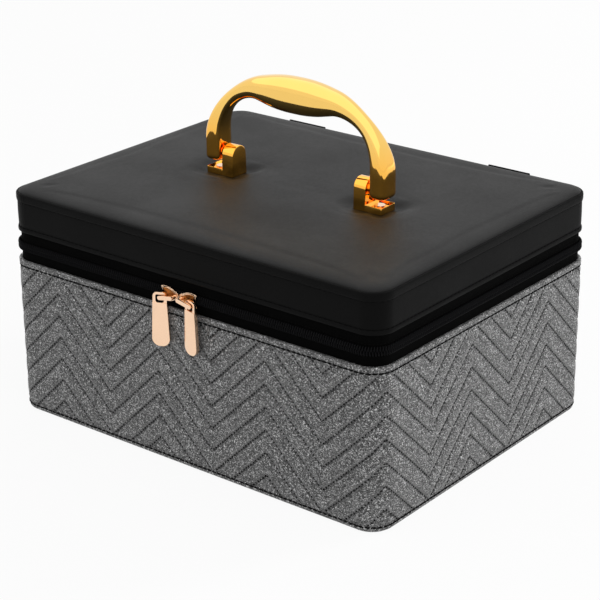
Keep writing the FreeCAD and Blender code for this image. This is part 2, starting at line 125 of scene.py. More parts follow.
class Bench:
    """Builds the nodes of one material or world."""

    def __init__(self, owner: bpy.types.Material | bpy.types.World) -> None:
        """Takes up a new material or world, with the shader and output that it starts with.

        Args:
            owner: The material or world.
        """
        owner.use_nodes = True
        self.owner = owner
        self.tree = owner.node_tree
        self.shader = self.tree.nodes["Background" if isinstance(owner, bpy.types.World) else "Principled BSDF"]

    def node(self, kind: str, settings: dict[str, Any], sockets: dict[Any, Any]) -> bpy.types.Node:
        """Adds a node.

        Args:
            kind: Node type.
            settings: Attributes of the node, set first; "stops" fills a ramp.
            sockets: Values or signals by input name or number.

        Returns:
            The new node.
        """
        node = self.tree.nodes.new(kind)
        for key, value in settings.items():
            if key == "stops":
                for place, colour in value[len(node.color_ramp.elements):]:
                    node.color_ramp.elements.new(place).color = colour
                for element, (place, colour) in zip(node.color_ramp.elements, value):
                    element.position = place
                    element.color = colour
            else:
                setattr(node, key, value)
        for key, value in sockets.items():
            if isinstance(value, Signal):
                self.tree.links.new(value.socket, node.inputs[key])
            else:
                node.inputs[key].default_value = value
        return node

    def math(self, operation: str, *values: Any) -> Signal:
        """One Math node on values or signals."""
        node = self.node("ShaderNodeMath", {"operation": operation}, dict(enumerate(values)))
        return Signal(self, node.outputs[0])

    def coordinate(self, kind: Coordinate) -> Signal:
        """Object or UV coordinates."""
        return Signal(self, self.node("ShaderNodeTexCoord", {}, {}).outputs[kind.value])

    def axes(self, vector: Signal) -> list[Signal]:
        """The X, Y and Z of a vector."""
        node = self.node("ShaderNodeSeparateXYZ", {}, {0: vector})
        return [Signal(self, socket) for socket in node.outputs]

    def noise(self, vector: Signal, scale: float, detail: float = 3.0, roughness: float = 0.5) -> Signal:
        """Soft noise.

        Args:
            vector: Where it is read.
            scale: Number of its waves in a metre.
            detail: Number of finer layers.
            roughness: Strength of the finer layers.

        Returns:
            A value from 0 to 1.
        """
        node = self.node("ShaderNodeTexNoise", {}, {
            "Vector": vector, "Scale": scale, "Detail": detail, "Roughness": roughness})
        return Signal(self, node.outputs[0])

    def cells(self, vector: Signal, scale: float, feature: str = "F1", output: str = "Distance") -> Signal:
        """Voronoi cells: the distance to a cell's middle or edge, or the cell's colour."""
        node = self.node("ShaderNodeTexVoronoi", {"feature": feature}, {"Vector": vector, "Scale": scale})
        return Signal(self, node.outputs[output])

    def remap(self, value: Signal, low: float, high: float, start: float = 0.0, end: float = 1.0) -> Signal:
        """Smooth step.

        Args:
            value: The value that moves it.
            low: Value at which it starts.
            high: Value at which it ends.
            start: Its level before.
            end: Its level after.

        Returns:
            The level.
        """
        node = self.node("ShaderNodeMapRange", {"interpolation_type": "SMOOTHSTEP"}, {
            "Value": value, "From Min": low, "From Max": high, "To Min": start, "To Max": end})
        return Signal(self, node.outputs[0])

    def blend(self, factor: Signal, low: Any, high: Any) -> Signal:
        """Colour between two, by a factor."""
        node = self.node("ShaderNodeMix", {"data_type": "RGBA"}, {0: factor, 6: low, 7: high})
        return Signal(self, node.outputs[2])

    def ramp(self, value: Signal, stops: Sequence[tuple[float, tuple]]) -> Signal:
        """Colour of a ramp at a value."""
        node = self.node("ShaderNodeValToRGB", {"stops": list(stops)}, {0: value})
        return Signal(self, node.outputs[0])

    def set(self, **sockets: Any) -> None:
        """Sets the shader's sockets; an underscore in a name stands for a space."""
        for key, value in sockets.items():
            socket = self.shader.inputs[key.replace("_", " ")]
            if isinstance(value, Signal):
                self.tree.links.new(value.socket, socket)
            else:
                socket.default_value = value

    def raise_surface(self, height: Signal, distance: float) -> None:
        """Bump of a height from 0 to 1, over a distance in metres."""
        node = self.node("ShaderNodeBump", {}, {"Height": height, "Distance": distance, "Strength": 1.0})
        self.set(Normal=Signal(self, node.outputs[0]))


def grey(level: float) -> tuple[float, float, float, float]:
    """Neutral colour of a linear level."""
    return (level, level, level, 1.0)


def tint(colour: Sequence[float], level: float) -> tuple[float, float, float, float]:
    """Colour at a share of its strength."""
    return tuple(min(c * level, 1.0) for c in colour[:3]) + (1.0,)


# --- outline of the case, and the chevron pattern that the quilted mesh, its seams and its finish share ---

@dataclass(frozen=True)
class Outline:
    """Rounded oblong that the walls follow, run round from the left end of the front, in millimetres."""

    width: float = 260.0
    depth: float = 201.0
    radius: float = 13.3
    tightest: float = 0.3
    closest: float = 0.2

    @property
    def arc(self) -> float:
        """Length of one corner."""
        return math.pi / 2 * self.radius

    @property
    def lengths(self) -> list[float]:
        """Lengths of the four sides and corners in turn, from the front."""
        return [self.width - 2 * self.radius, self.arc, self.depth - 2 * self.radius, self.arc] * 2

    @property
    def perimeter(self) -> float:
        """Length all round."""
        return sum(self.lengths)

    def locate(self, run: float) -> tuple[int, float]:
        """Finds where on the outline a run lies.

        Args:
            run: Length from the left end of the front.

        Returns:
            Number of the side or corner, from the front, and the share of it passed.
        """
        left = (run - self.radius) % self.perimeter
        for index, length in enumerate(self.lengths):
            if left <= length:
                return index, left / length
            left -= length
        return 7, 1.0

    def place(self, run: float, inset: float, height: float) -> Vector:
        """Point on the outline.

        Args:
            run: Length from the left end of the front.
            inset: Distance inwards from the outline.
            height: Height of the point.

        Returns:
            The point.
        """
        index, share = self.locate(run)
        side = index // 2
        along = Vector([(1, 0, 0), (0, 1, 0), (-1, 0, 0), (0, -1, 0)][side])
        out = Vector([(0, -1, 0), (1, 0, 0), (0, 1, 0), (-1, 0, 0)][side])
        half_run, half_off = self.width / 2 - inset, self.depth / 2 - inset
        if side % 2:
            half_run, half_off = half_off, half_run
        corner = max(self.radius - inset, self.tightest)
        if index % 2:
            angle = share * math.pi / 2
            point = along * (half_run - corner) + out * (half_off - corner)
            point += (out * math.cos(angle) + along * math.sin(angle)) * corner
        else:
            point = along * (2 * share - 1) * (half_run - corner) + out * half_off
        return Vector((point.x, point.y, height))

    def normal(self, run: float) -> Vector:
        """Outward normal at a run."""
        return (self.place(run, 0.0, 0.0) - self.place(run, 1.0, 0.0)).normalized()

    def tangent(self, run: float) -> Vector:
        """Direction of the run, the front's being +X."""
        return Vector((0, 0, 1)).cross(self.normal(run))

    def runs(self, straight: float, curve: float) -> list[float]:
        """Runs once round the case.

        Args:
            straight: Longest step on the sides.
            curve: Longest step round the corners.

        Returns:
            The runs in order, the last one a whole turn past the first.
        """
        found = [self.radius]
        for index, length in enumerate(self.lengths):
            count = math.ceil(length / (curve if index % 2 else straight))
            first = found[-1]
            found += [first + length * (i + 1) / count for i in range(count)]
        return found

    def part_runs(self, straight: float, curve: float, start: float, end: float) -> list[float]:
        """Runs over a part of the way round.

        Args:
            straight: Longest step on the sides.
            curve: Longest step round the corners.
            start: First run.
            end: Last run, which may lie past one whole turn.

        Returns:
            The runs in order.
        """
        once = self.runs(straight, curve)
        twice = once + [run + self.perimeter for run in once[1:]]
        return [start] + [run for run in twice if start + self.closest < run < end - self.closest] + [end]


@dataclass(frozen=True)
class Chevron:
    """Zig-zag seams round the case, in millimetres."""

    period: float
    pitch: float = 13.2
    first: float = 3.1
    slope: float = 0.976
    low_seam: float = 3.2
    high_seam: float = 89.4

    def rise(self, run: float) -> float:
        """Height of a seam above its valley at a run."""
        share = run / self.period
        return self.slope * self.period * abs(share - round(share))

    def offset(self, run: float, height: float) -> float:
        """Distance up from the nearest seam below, as a share of the pitch."""
        return ((height - self.first - self.rise(run)) / self.pitch) % 1.0


CASE = Outline()
CHEVRON_LEGS = 24
CHEVRON = Chevron(2 * CASE.perimeter / CHEVRON_LEGS)


# --- finishes ---

@dataclass(frozen=True)
class Finish:
    """A finish: the record's slot that it belongs to and a method that builds its nodes."""

    slot: str
    name: str

    def material(self) -> bpy.types.Material:
        """Builds the finish's material the first time, and finds it again after that.

        Returns:
            The material.
        """
        found = bpy.data.materials.get(self.name)
        if found:
            return found
        bench = Bench(bpy.data.materials.new(self.name))
        self.shade(bench)
        return bench.owner

    def shade(self, bench: Bench) -> None:
        """Builds the nodes of the finish."""
        raise NotImplementedError


@dataclass(frozen=True)
class GlitterLeather(Finish):
    """Fine silver glitter set in grey leatherette, with a painted highlight above each chevron seam and painted
    shade under the next seam and in the seam grooves.
    """

    chevron: Chevron = CHEVRON
    flake_scale: float = 2150.0
    seam_edge: float = 0.3
    # The next three levels are the greys of the painted highlight above each seam, the painted shade under the next
    # seam and the painted shade in the seam grooves.
    painted_highlight_level: float = 0.36
    painted_shade_level: float = 0.04
    seam_shade_level: float = 0.015
    relief: float = 0.0011

    def shade(self, bench: Bench) -> None:
        """Random flakes over a grey ground, with a painted highlight above each seam and painted shade under the
        next seam and in the seam grooves.

        Args:
            bench: Bench of the material.
        """
        chevron = self.chevron
        uv = bench.coordinate(Coordinate.UV)
        run, height, _ = bench.axes(uv)
        rise = bench.math("PINGPONG", run, chevron.period * MM / 2) * chevron.slope
        share = bench.math("FRACT", (height - rise - chevron.first * MM) / (chevron.pitch * MM))
        gap = bench.math("MINIMUM", share, 1.0 - share)
        low, high, edge = chevron.low_seam * MM, chevron.high_seam * MM, self.seam_edge * MM
        above = bench.remap(height, low - edge, low + edge)
        quilted = above * bench.remap(height, high - edge, high + edge, 1.0, 0.0)
        # Painted shade in the seam grooves: a narrow mask where the seams sink.
        seam = bench.remap(gap, 0.0, 0.05, 1.0, 0.0) * quilted
        groove = bench.remap(gap, 0.0, 0.13, 1.0, 0.0) * quilted
        # Painted highlight: a lighter strip just above each seam and a lighter tone fading up the lower part of each
        # strip, where light catches the puffs.
        shoulder = bench.remap(share, 0.02, 0.06) * bench.remap(share, 0.06, 0.15, 1.0, 0.0)
        painted_highlight = (shoulder * 0.5 + bench.remap(share, 0.05, 0.6, 0.07, 0.0)) * quilted
        # Painted shade: the tone darkens just under the next seam up, where the puff turns away from the light.
        painted_shade = bench.remap(share, 0.8, 1.0, 0.0, 0.2) * quilted
        flake, spark, _ = bench.axes(bench.cells(uv, self.flake_scale, output="Color"))
        tone = bench.ramp(flake, [(0.0, grey(0.003)), (0.35, grey(0.035)), (0.7, grey(0.15)),
                                  (0.9, grey(0.36)), (1.0, grey(0.7))])
        # Blends in the painted highlight, the painted shade under each seam and the painted shade in the seam
        # grooves.
        for strength, level in ((painted_highlight, self.painted_highlight_level), (painted_shade, self.painted_shade_level), (seam * 0.05, self.seam_shade_level)):
            tone = bench.blend(strength, tone, grey(level))
        bench.set(
            Base_Color=tone,
            Roughness=bench.remap(spark, 0.0, 1.0, 0.38, 0.7),
            Metallic=bench.remap(flake, 0.6, 0.95, 0.0, 0.6))
        bench.raise_surface(flake * 0.1 + (1.0 - groove) * 0.9, self.relief)


@dataclass(frozen=True)
class GrainLeather(Finish):
    """Smooth leatherette with a fine pebble grain."""

    level: float = 0.0022
    roughness: float = 0.5
    gloss: float = 0.05
    grain_scale: float = 950.0
    grain_depth: float = 0.00004

    def shade(self, bench: Bench) -> None:
        """Pebble grain, with faint clouding in the colour and the gloss.

        Args:
            bench: Bench of the material.
        """
        place = bench.coordinate(Coordinate.OBJECT)
        cloud = bench.noise(place, 24.0, 4.0)
        fine = bench.noise(place, 700.0, 2.0)
        crease = bench.cells(place, self.grain_scale, "DISTANCE_TO_EDGE")
        bench.set(
            Base_Color=bench.blend(cloud, grey(self.level * 0.75), grey(self.level * 1.35)),
            Roughness=bench.remap(cloud * 0.6 + fine * 0.4, 0.25, 0.75, self.roughness - 0.05,
                                  self.roughness + 0.07),
            Specular_IOR_Level=self.gloss)
        bench.raise_surface(bench.remap(crease, 0.0, 0.12) * 0.7 + fine * 0.3, self.grain_depth)


@dataclass(frozen=True)
class PlatedMetal(Finish):
    """Polished plating with faint polishing marks, and, where a foot colour is given, a redder painted reflection
    near its foot.
    """

    colour: tuple[float, float, float] = (0.87, 0.6, 0.16)
    roughness: float = 0.09
    lacquer: float = 0.0
    lacquer_ior: float = 1.5
    foot: tuple[float, float, float] | None = None
    foot_top: float = 0.148
    body_start: float = 0.176

    def shade(self, bench: Bench) -> None:
        """Metal whose gloss and colour vary a little, with a painted reflection near the foot where one is given.

        Args:
            bench: Bench of the material.
        """
        place = bench.coordinate(Coordinate.OBJECT)
        cloud = bench.noise(place, 60.0, 3.0)
        marks = bench.noise(place, 1800.0, 2.0)
        tone = bench.blend(cloud, tint(self.colour, 0.93), tint(self.colour, 1.04))
        # Painted reflection: below foot_top the colour turns to the foot colour, a redder tone that stands in for
        # light bounced between the lower gold parts.
        if self.foot:
            rise = bench.remap(bench.axes(place)[2], self.foot_top, self.body_start)
            tone = bench.blend(rise, tint(self.foot, 1.0), tone)
        bench.set(
            Base_Color=tone,
            Roughness=bench.remap(cloud * 0.6 + marks * 0.4, 0.3, 0.7, self.roughness * 0.8,
                                  self.roughness * 1.3),
            Metallic=1.0,
            Coat_Weight=self.lacquer,
            Coat_IOR=self.lacquer_ior,
            Coat_Roughness=0.04)
        bench.raise_surface(cloud, 0.00002)


@dataclass(frozen=True)
class Weave(Finish):
    """Woven cloth or tape, by its thread pitch."""

    low: float = 0.003
    high: float = 0.012
    thread: float = 0.7
    roughness: float = 0.85
    sheen: float = 0.3
    gloss: float = 0.2

    def shade(self, bench: Bench) -> None:
        """Plain weave on the cloth's own coordinates.

        Args:
            bench: Bench of the material.
        """
        along, across, _ = bench.axes(bench.coordinate(Coordinate.UV))
        turn = 2 * math.pi / (self.thread * MM)
        warp = bench.math("SINE", along * turn)
        weft = bench.math("SINE", across * turn)
        height = (warp * weft + 1.0) * 0.5
        bench.set(
            Base_Color=bench.blend(height, grey(self.low), grey(self.high)),
            Roughness=bench.remap(height, 0.0, 1.0, self.roughness, self.roughness - 0.1),
            Sheen_Weight=self.sheen,
            Specular_IOR_Level=self.gloss)
        bench.raise_surface(height, 0.00012)


@dataclass(frozen=True)
class Speckled(Finish):
    """Plain stock with a fine mottle, such as board, foam, thread, nylon and steel."""

    colour: tuple[float, float, float] = (0.3, 0.3, 0.3)
    roughness: float = 0.7
    metallic: float = 0.0
    scale: float = 400.0
    depth: float = 0.0001
    gloss: float = 0.4

    def shade(self, bench: Bench) -> None:
        """Mottled colour, gloss and a slight relief.

        Args:
            bench: Bench of the material.
        """
        place = bench.coordinate(Coordinate.OBJECT)
        mottle = bench.noise(place, self.scale, 4.0, 0.6)
        bench.set(
            Base_Color=bench.blend(mottle, tint(self.colour, 0.75), tint(self.colour, 1.25)),
            Roughness=bench.remap(mottle, 0.3, 0.7, self.roughness - 0.06, self.roughness + 0.06),
            Metallic=self.metallic,
            Specular_IOR_Level=self.gloss)
        bench.raise_surface(mottle, self.depth)


QUILT = GlitterLeather("quilted_cover", "quilted_glitter")
LEATHER = GrainLeather("black_leather", "black_leatherette")
PAD_LEATHER = GrainLeather("black_leather", "black_pad_leatherette", 0.0034, 0.5, 0.195)
# GOLD's last colour is its painted reflection near the foot of the legs, on the brackets and on the pins.
GOLD = PlatedMetal("gold", "gold_plating", (0.96, 0.61, 0.15), 0.06, 0.25, 1.6, (1.0, 0.49, 0.06))
ROSE = PlatedMetal("rose_gold", "rose_gold_plating", (0.95, 0.66, 0.46), 0.16)
# Painted shade: a darker, duller copy of the rose gold for the hollow in each slider's face.
ROSE_SHADED = PlatedMetal("rose_gold", "rose_gold_recess", (0.5, 0.2, 0.05), 0.35)
TAPE = Weave("zip_tape", "zip_tape_weave", 0.0006, 0.0022, 0.55, 0.95, 0.0, 0.03)
LINING = Weave("lining", "lining_cloth", 0.008, 0.022, 0.6, 0.7, 0.3)
DIVIDER = Weave("divider", "divider_cloth", 0.012, 0.03, 0.8, 0.8, 0.4)
COIL = Speckled("zip_coil", "nylon_coil", (0.004, 0.004, 0.0045), 0.35, 0.0, 900.0, 0.00003, 0.05)
THREAD = Speckled("black_leather", "black_thread", (0.003, 0.003, 0.003), 0.75, 0.0, 2500.0, 0.00008, 0.05)
BOARD = Speckled("board", "grey_board", (0.35, 0.28, 0.2), 0.85, 0.0, 300.0, 0.0002)
FOAM = Speckled("foam", "grey_foam", (0.25, 0.25, 0.26), 0.95, 0.0, 900.0, 0.0004)
STEEL = Speckled("steel", "zinc_steel", (0.6, 0.6, 0.62), 0.35, 1.0, 500.0, 0.00003)


# --- levels and mesh helpers ---

@dataclass(frozen=True)
class Levels:
    """Heights and depths that the pieces share, in millimetres."""

    base_top: float = 93.0
    lid_bottom: float = 109.85
    seam: float = 132.45
    chain: float = 101.425
    tape_inset: float = 1.6
    tape_thickness: float = 0.8
    tape_low: float = 88.2
    tape_high: float = 114.6
    hinge_gap: float = 0.2
    lining_inset: float = 4.8
    floor: float = 5.5
    ceiling: float = 122.55
    back_run: float = 579.6
    hinge_half: float = 102.7
    pivot_rise: float = 12.0

    @property
    def zip_runs(self) -> tuple[float, float]:
        """Start and end of the zip, round the front from one end of the hinge to the other."""
        gap = self.hinge_half + self.hinge_gap
        return self.back_run + gap, self.back_run + CASE.perimeter - gap


LEVELS = Levels()


def ring(profile: Sequence[tuple[float, float]], runs: Sequence[float],
         relief: Callable[[float, float], float] | None = None,
         datum: float = 0.0) -> bmesh.types.BMesh:
    """Sweeps a profile round the case.

    Args:
        profile: Inset and height of each line, in order.
        runs: Places along the outline; a whole turn is closed on itself.
        relief: Outward shift at a run and a height, if any.
        datum: Length along the profile that its first line counts as.

    Returns:
        The swept sheet in millimetres, with its UV map in metres along the run and the profile.
    """
    reach = [datum]
    for (inset, height), (next_inset, next_height) in zip(profile, profile[1:]):
        reach.append(reach[-1] + math.hypot(next_inset - inset, next_height - height))
    sheet = bmesh.new()
    columns, rows = len(runs) - 1, len(profile) - 1
    bmesh.ops.create_grid(sheet, x_segments=columns, y_segments=rows, size=1.0)
    layer = sheet.loops.layers.uv.new(UV_NAME)
    for face in sheet.faces:
        for loop in face.loops:
            i = round((loop.vert.co.x + 1) / 2 * columns)
            j = round((loop.vert.co.y + 1) / 2 * rows)
            loop[layer].uv = (runs[i] * MM, reach[j] * MM)
    for vert in sheet.verts:
        run = runs[round((vert.co.x + 1) / 2 * columns)]
        inset, height = profile[round((vert.co.y + 1) / 2 * rows)]
        shift = relief(run, height) if relief else 0.0
        vert.co = CASE.place(run, inset - shift, height)
    if math.isclose(runs[-1] - runs[0], CASE.perimeter, abs_tol=0.1):
        bmesh.ops.remove_doubles(sheet, verts=sheet.verts, dist=TOUCHING)
    return sheet


def block(low: Sequence[float], high: Sequence[float]) -> bmesh.types.BMesh:
    """Builds a closed box.

    Args:
        low: Its corner of least X, Y and Z.
        high: The corner across from it.

    Returns:
        The box.
    """
    start, end = Vector(low), Vector(high)
    body = bmesh.new()
    bmesh.ops.create_cube(body, size=1.0)
    bmesh.ops.scale(body, vec=end - start, verts=body.verts)
    bmesh.ops.translate(body, vec=(start + end) / 2, verts=body.verts)
    return body


def bevel(body: bmesh.types.BMesh, edges: Sequence[bmesh.types.BMEdge], offset: float, segments: int,
          clamp: bool = False) -> None:
    """Rounds edges.

    Args:
        body: The mesh, which is changed.
        edges: The edges.
        offset: Width of the bevel.
        segments: Number of faces across it.
        clamp: Whether bevels stop where they meet.
    """
    bmesh.ops.bevel(body, geom=edges, offset=offset, offset_type="OFFSET", affect="EDGES", segments=segments,
                    profile=0.5, material=-1, clamp_overlap=clamp)


def soften(body: bmesh.types.BMesh, offset: float, segments: int, angle: float = 30.0) -> None:
    """Rounds every sharp edge.

    Args:
        body: The mesh, which is changed.
        offset: Width of the bevel.
        segments: Number of faces across it.
        angle: Turn in degrees above which an edge is sharp.
    """
    sharp = [edge for edge in body.edges
             if len(edge.link_faces) == 2 and edge.calc_face_angle(0.0) > math.radians(angle)]
    bevel(body, sharp, offset, segments, True)


def scatter(seed: bmesh.types.BMesh, places: Sequence[Matrix]) -> bmesh.types.BMesh:
    """Copies a small shape to many places.

    Args:
        seed: The shape, which is freed.
        places: Where each copy goes.

    Returns:
        One mesh of all the copies.
    """
    mesh = bpy.data.meshes.new("seed")
    seed.to_mesh(mesh)
    count = len(seed.verts)
    seed.free()
    crowd = bmesh.new()
    for _ in places:
        crowd.from_mesh(mesh)
    crowd.verts.ensure_lookup_table()
    for number, place in enumerate(places):
        for vert in crowd.verts[number * count:(number + 1) * count]:
            vert.co = place @ vert.co
    bpy.data.meshes.remove(mesh)
    return crowd


def merge(*bodies: bmesh.types.BMesh) -> bmesh.types.BMesh:
    """Joins meshes.

    Args:
        bodies: The meshes; all but the first are freed.

    Returns:
        The first mesh, which holds them all.
    """
    whole = bodies[0]
    for body in bodies[1:]:
        mesh = bpy.data.meshes.new("part")
        body.to_mesh(mesh)
        body.free()
        whole.from_mesh(mesh)
        bpy.data.meshes.remove(mesh)
    return whole


def mirrored(body: bmesh.types.BMesh, side: Side) -> bmesh.types.BMesh:
    """Turns a right-hand shape into its left-hand twin where the side asks for it.

    Args:
        body: The right-hand shape, which is changed.
        side: The side that it is for.

    Returns:
        The same mesh.
    """
    if side is Side.LEFT:
        bmesh.ops.scale(body, vec=(-1, 1, 1), verts=body.verts)
        bmesh.ops.reverse_faces(body, faces=body.faces)
    return body


def install(name: str, data: bpy.types.ID) -> bpy.types.Object:
    """Adds an object that shows some data to the scene.

    Args:
        name: The object's name.
        data: Its mesh, lamp or camera.

    Returns:
        The new object.
    """
    thing = bpy.data.objects.new(name, data)
    bpy.context.scene.collection.objects.link(thing)
    return thing


def to_mesh(body: bmesh.types.BMesh, name: str, material: bpy.types.Material) -> bpy.types.Mesh:
    """Turns a mesh in millimetres into scene data.

    Args:
        body: The mesh, which is freed.
        name: Name of the data.
        material: Its material.

    Returns:
        The new data, in metres.
    """
    bmesh.ops.scale(body, vec=(MM, MM, MM), verts=body.verts)
    mesh = bpy.data.meshes.new(name)
    body.to_mesh(mesh)
    body.free()
    mesh.materials.append(material)
    return mesh


def publish(body: bmesh.types.BMesh, name: str, finish: Finish, rides: Body | None = None,
            replaces: Sequence[str] = (), smooth: float = 40.0) -> bpy.types.Object:
    """Turns a mesh in millimetres into a finished piece of the scene.

    Args:
        body: The mesh, which is freed.
        name: The piece's name.
        finish: Its finish.
        rides: The body that it moves with, if it rides on one alone.
        replaces: CAD nodes that it stands for.
        smooth: Angle in degrees up to which its edges are smooth.

    Returns:
        The new object.
    """
    mesh = to_mesh(body, name, finish.material())
    mesh.shade_smooth()
    mesh.set_sharp_from_angle(angle=math.radians(smooth))
    piece = install(name, mesh)
    if rides:
        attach(piece, rides.value)
    if replaces:
        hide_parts(*replaces)
    LOG.info("%s: %d vertices", name, len(mesh.vertices))
    return piece


def dress(node: str, finish: Finish) -> None:
    """Gives a CAD node that stays its finish.

    Args:
        node: Name of the node.
        finish: Its finish.
    """
    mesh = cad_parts[node].data
    mesh.materials.clear()
    mesh.materials.append(finish.material())


# --- stitching ---

@dataclass
class Seam:
    """Rows of thread stitches, gathered and then built as one piece, in millimetres."""

    pitch: float = 2.5
    length: float = 1.7
    width: float = 0.5
    depth: float = 0.4
    places: list[Matrix] = field(default_factory=list)

    def add(self, centre: Vector, along: Vector, out: Vector) -> None:
        """Adds one stitch.

        Args:
            centre: Middle of the stitch.
            along: Direction of the thread.
            out: Direction that the surface faces.
        """
        along = along.normalized()
        across = out.cross(along).normalized()
        turn = Matrix((along, across, along.cross(across))).transposed()
        size = Matrix.Diagonal((self.length / 2, self.width / 2, self.depth / 2, 1.0))
        self.places.append(Matrix.Translation(centre) @ turn.to_4x4() @ size)

    def follow(self, height: float, inset: float, start: float, end: float) -> None:
        """Adds a level row of stitches round the case.

        Args:
            height: Height of the row.
            inset: How far in the stitches lie.
            start: Run at which the row starts.
            end: Run at which it ends.
        """
        count = round((end - start) / self.pitch)
        for i in range(count):
            run = start + (end - start) * (i + 0.5) / count
            self.add(CASE.place(run, inset, height), CASE.tangent(run), CASE.normal(run))

    def build(self, name: str, finish: Finish, rides: Body | None) -> bpy.types.Object:
        """Builds every stitch that was added.

        Args:
            name: Name of the piece.
            finish: Finish of the thread.
            rides: Body of the row, if it rides on one alone.

        Returns:
            The new object.
        """
        seed = bmesh.new()
        bmesh.ops.create_icosphere(seed, subdivisions=1, radius=1.0)
        return publish(scatter(seed, self.places), name, finish, rides, (), 180.0)


# --- base ---

@dataclass(frozen=True)
class QuiltedBase:
    """Quilted side cover, its seams, the bottom cover and the hidden boards."""

    puff: float = 0.7
    sink: float = 0.2
    fade_depth: float = 3.0
    columns: int = 900
    rows: int = 70
    stitch_pitch: float = 2.3
    chevron_proud: float = 0.17
    row_proud: float = 0.3

    def relief(self, run: float, height: float) -> float:
        """Gives the quilted cover its relief.

        Args:
            run: Place along the outline.
            height: Height on the cover.

        Returns:
            Outward shift, below 0 in the seams.
        """
        edge = min(height - CHEVRON.low_seam, CHEVRON.high_seam - height)
        if edge < 0:
            return 0.0
        share = CHEVRON.offset(run, height)
        gap = min(share, 1 - share) * 2
        fade = min(edge / self.fade_depth, 1.0)
        soft = noise.noise(Vector((run / 9.0, height / 9.0, 3.0))) * 0.08
        return -self.sink + (self.puff * (1 - (1 - gap) ** 3.0) + soft) * fade

    def cover(self) -> None:
        """Builds the quilted cover with its turned-in foot and folded lip."""
        foot = [(1.6, 0.45), (1.1, 0.45), (0.6, 0.7), (0.2, 1.2), (0.0, 1.9), (0.05, 2.6)]
        low, high = CHEVRON.low_seam, CHEVRON.high_seam
        quilt = [(0.0, low + (high - low) * i / self.rows) for i in range(self.rows + 1)]
        lip = [(-0.1, 89.95), (-0.35, 90.2), (-0.5, 90.7), (-0.5, 92.3), (-0.35, 92.8), (0.1, 93.0),
               (1.3, 93.0), (1.6, 92.8), (1.6, 91.0)]
        step = CASE.perimeter / self.columns
        runs = [i * step for i in range(self.columns + 1)]
        turn_in = sum(math.dist(a, b) for a, b in zip(foot, foot[1:] + quilt[:1]))
        publish(ring(foot + quilt + lip, runs, self.relief, low - turn_in), "base_quilted_cover", QUILT, Body.BASE,
                ["base_outer_cover"], 60.0)

    def seams(self) -> None:
        """Builds the chevron seams and the two level rows that close them."""
        chevron = Seam(self.stitch_pitch, 1.05, 1.15, 0.8)
        half = CHEVRON.period / 2
        step = self.stitch_pitch / math.hypot(1.0, CHEVRON.slope)
        count = round(half / step)
        for leg in range(CHEVRON_LEGS):
            lean = CHEVRON.slope if leg % 2 == 0 else -CHEVRON.slope
            for i in range(count):
                run = leg * half + half * (i + 0.5) / count
                height = CHEVRON.first + CHEVRON.rise(run) - 3 * CHEVRON.pitch
                normal, along = CASE.normal(run), CASE.tangent(run) + Vector((0, 0, lean))
                while height < CHEVRON.high_seam - 1.0:
                    if height > CHEVRON.low_seam + 0.8:
                        chevron.add(CASE.place(run, self.sink - self.chevron_proud, height), along, normal)
                    height += CHEVRON.pitch
        chevron.build("base_chevron_stitches", THREAD, Body.BASE)
        rows = Seam(3.3, 3.7, 1.1, 0.8)
        for height in (CHEVRON.low_seam, CHEVRON.high_seam):
            rows.follow(height, self.sink - self.row_proud, 0.0, CASE.perimeter)
        rows.build("base_edge_stitches", THREAD, Body.BASE)

    def build(self) -> None:
        """Builds the cover and its seams, and finishes what stays of the CAD."""
        self.cover()
        self.seams()
        dress("base_bottom_cover", LEATHER)
        dress("base_floor_board", BOARD)
        dress("base_wall_board", BOARD)


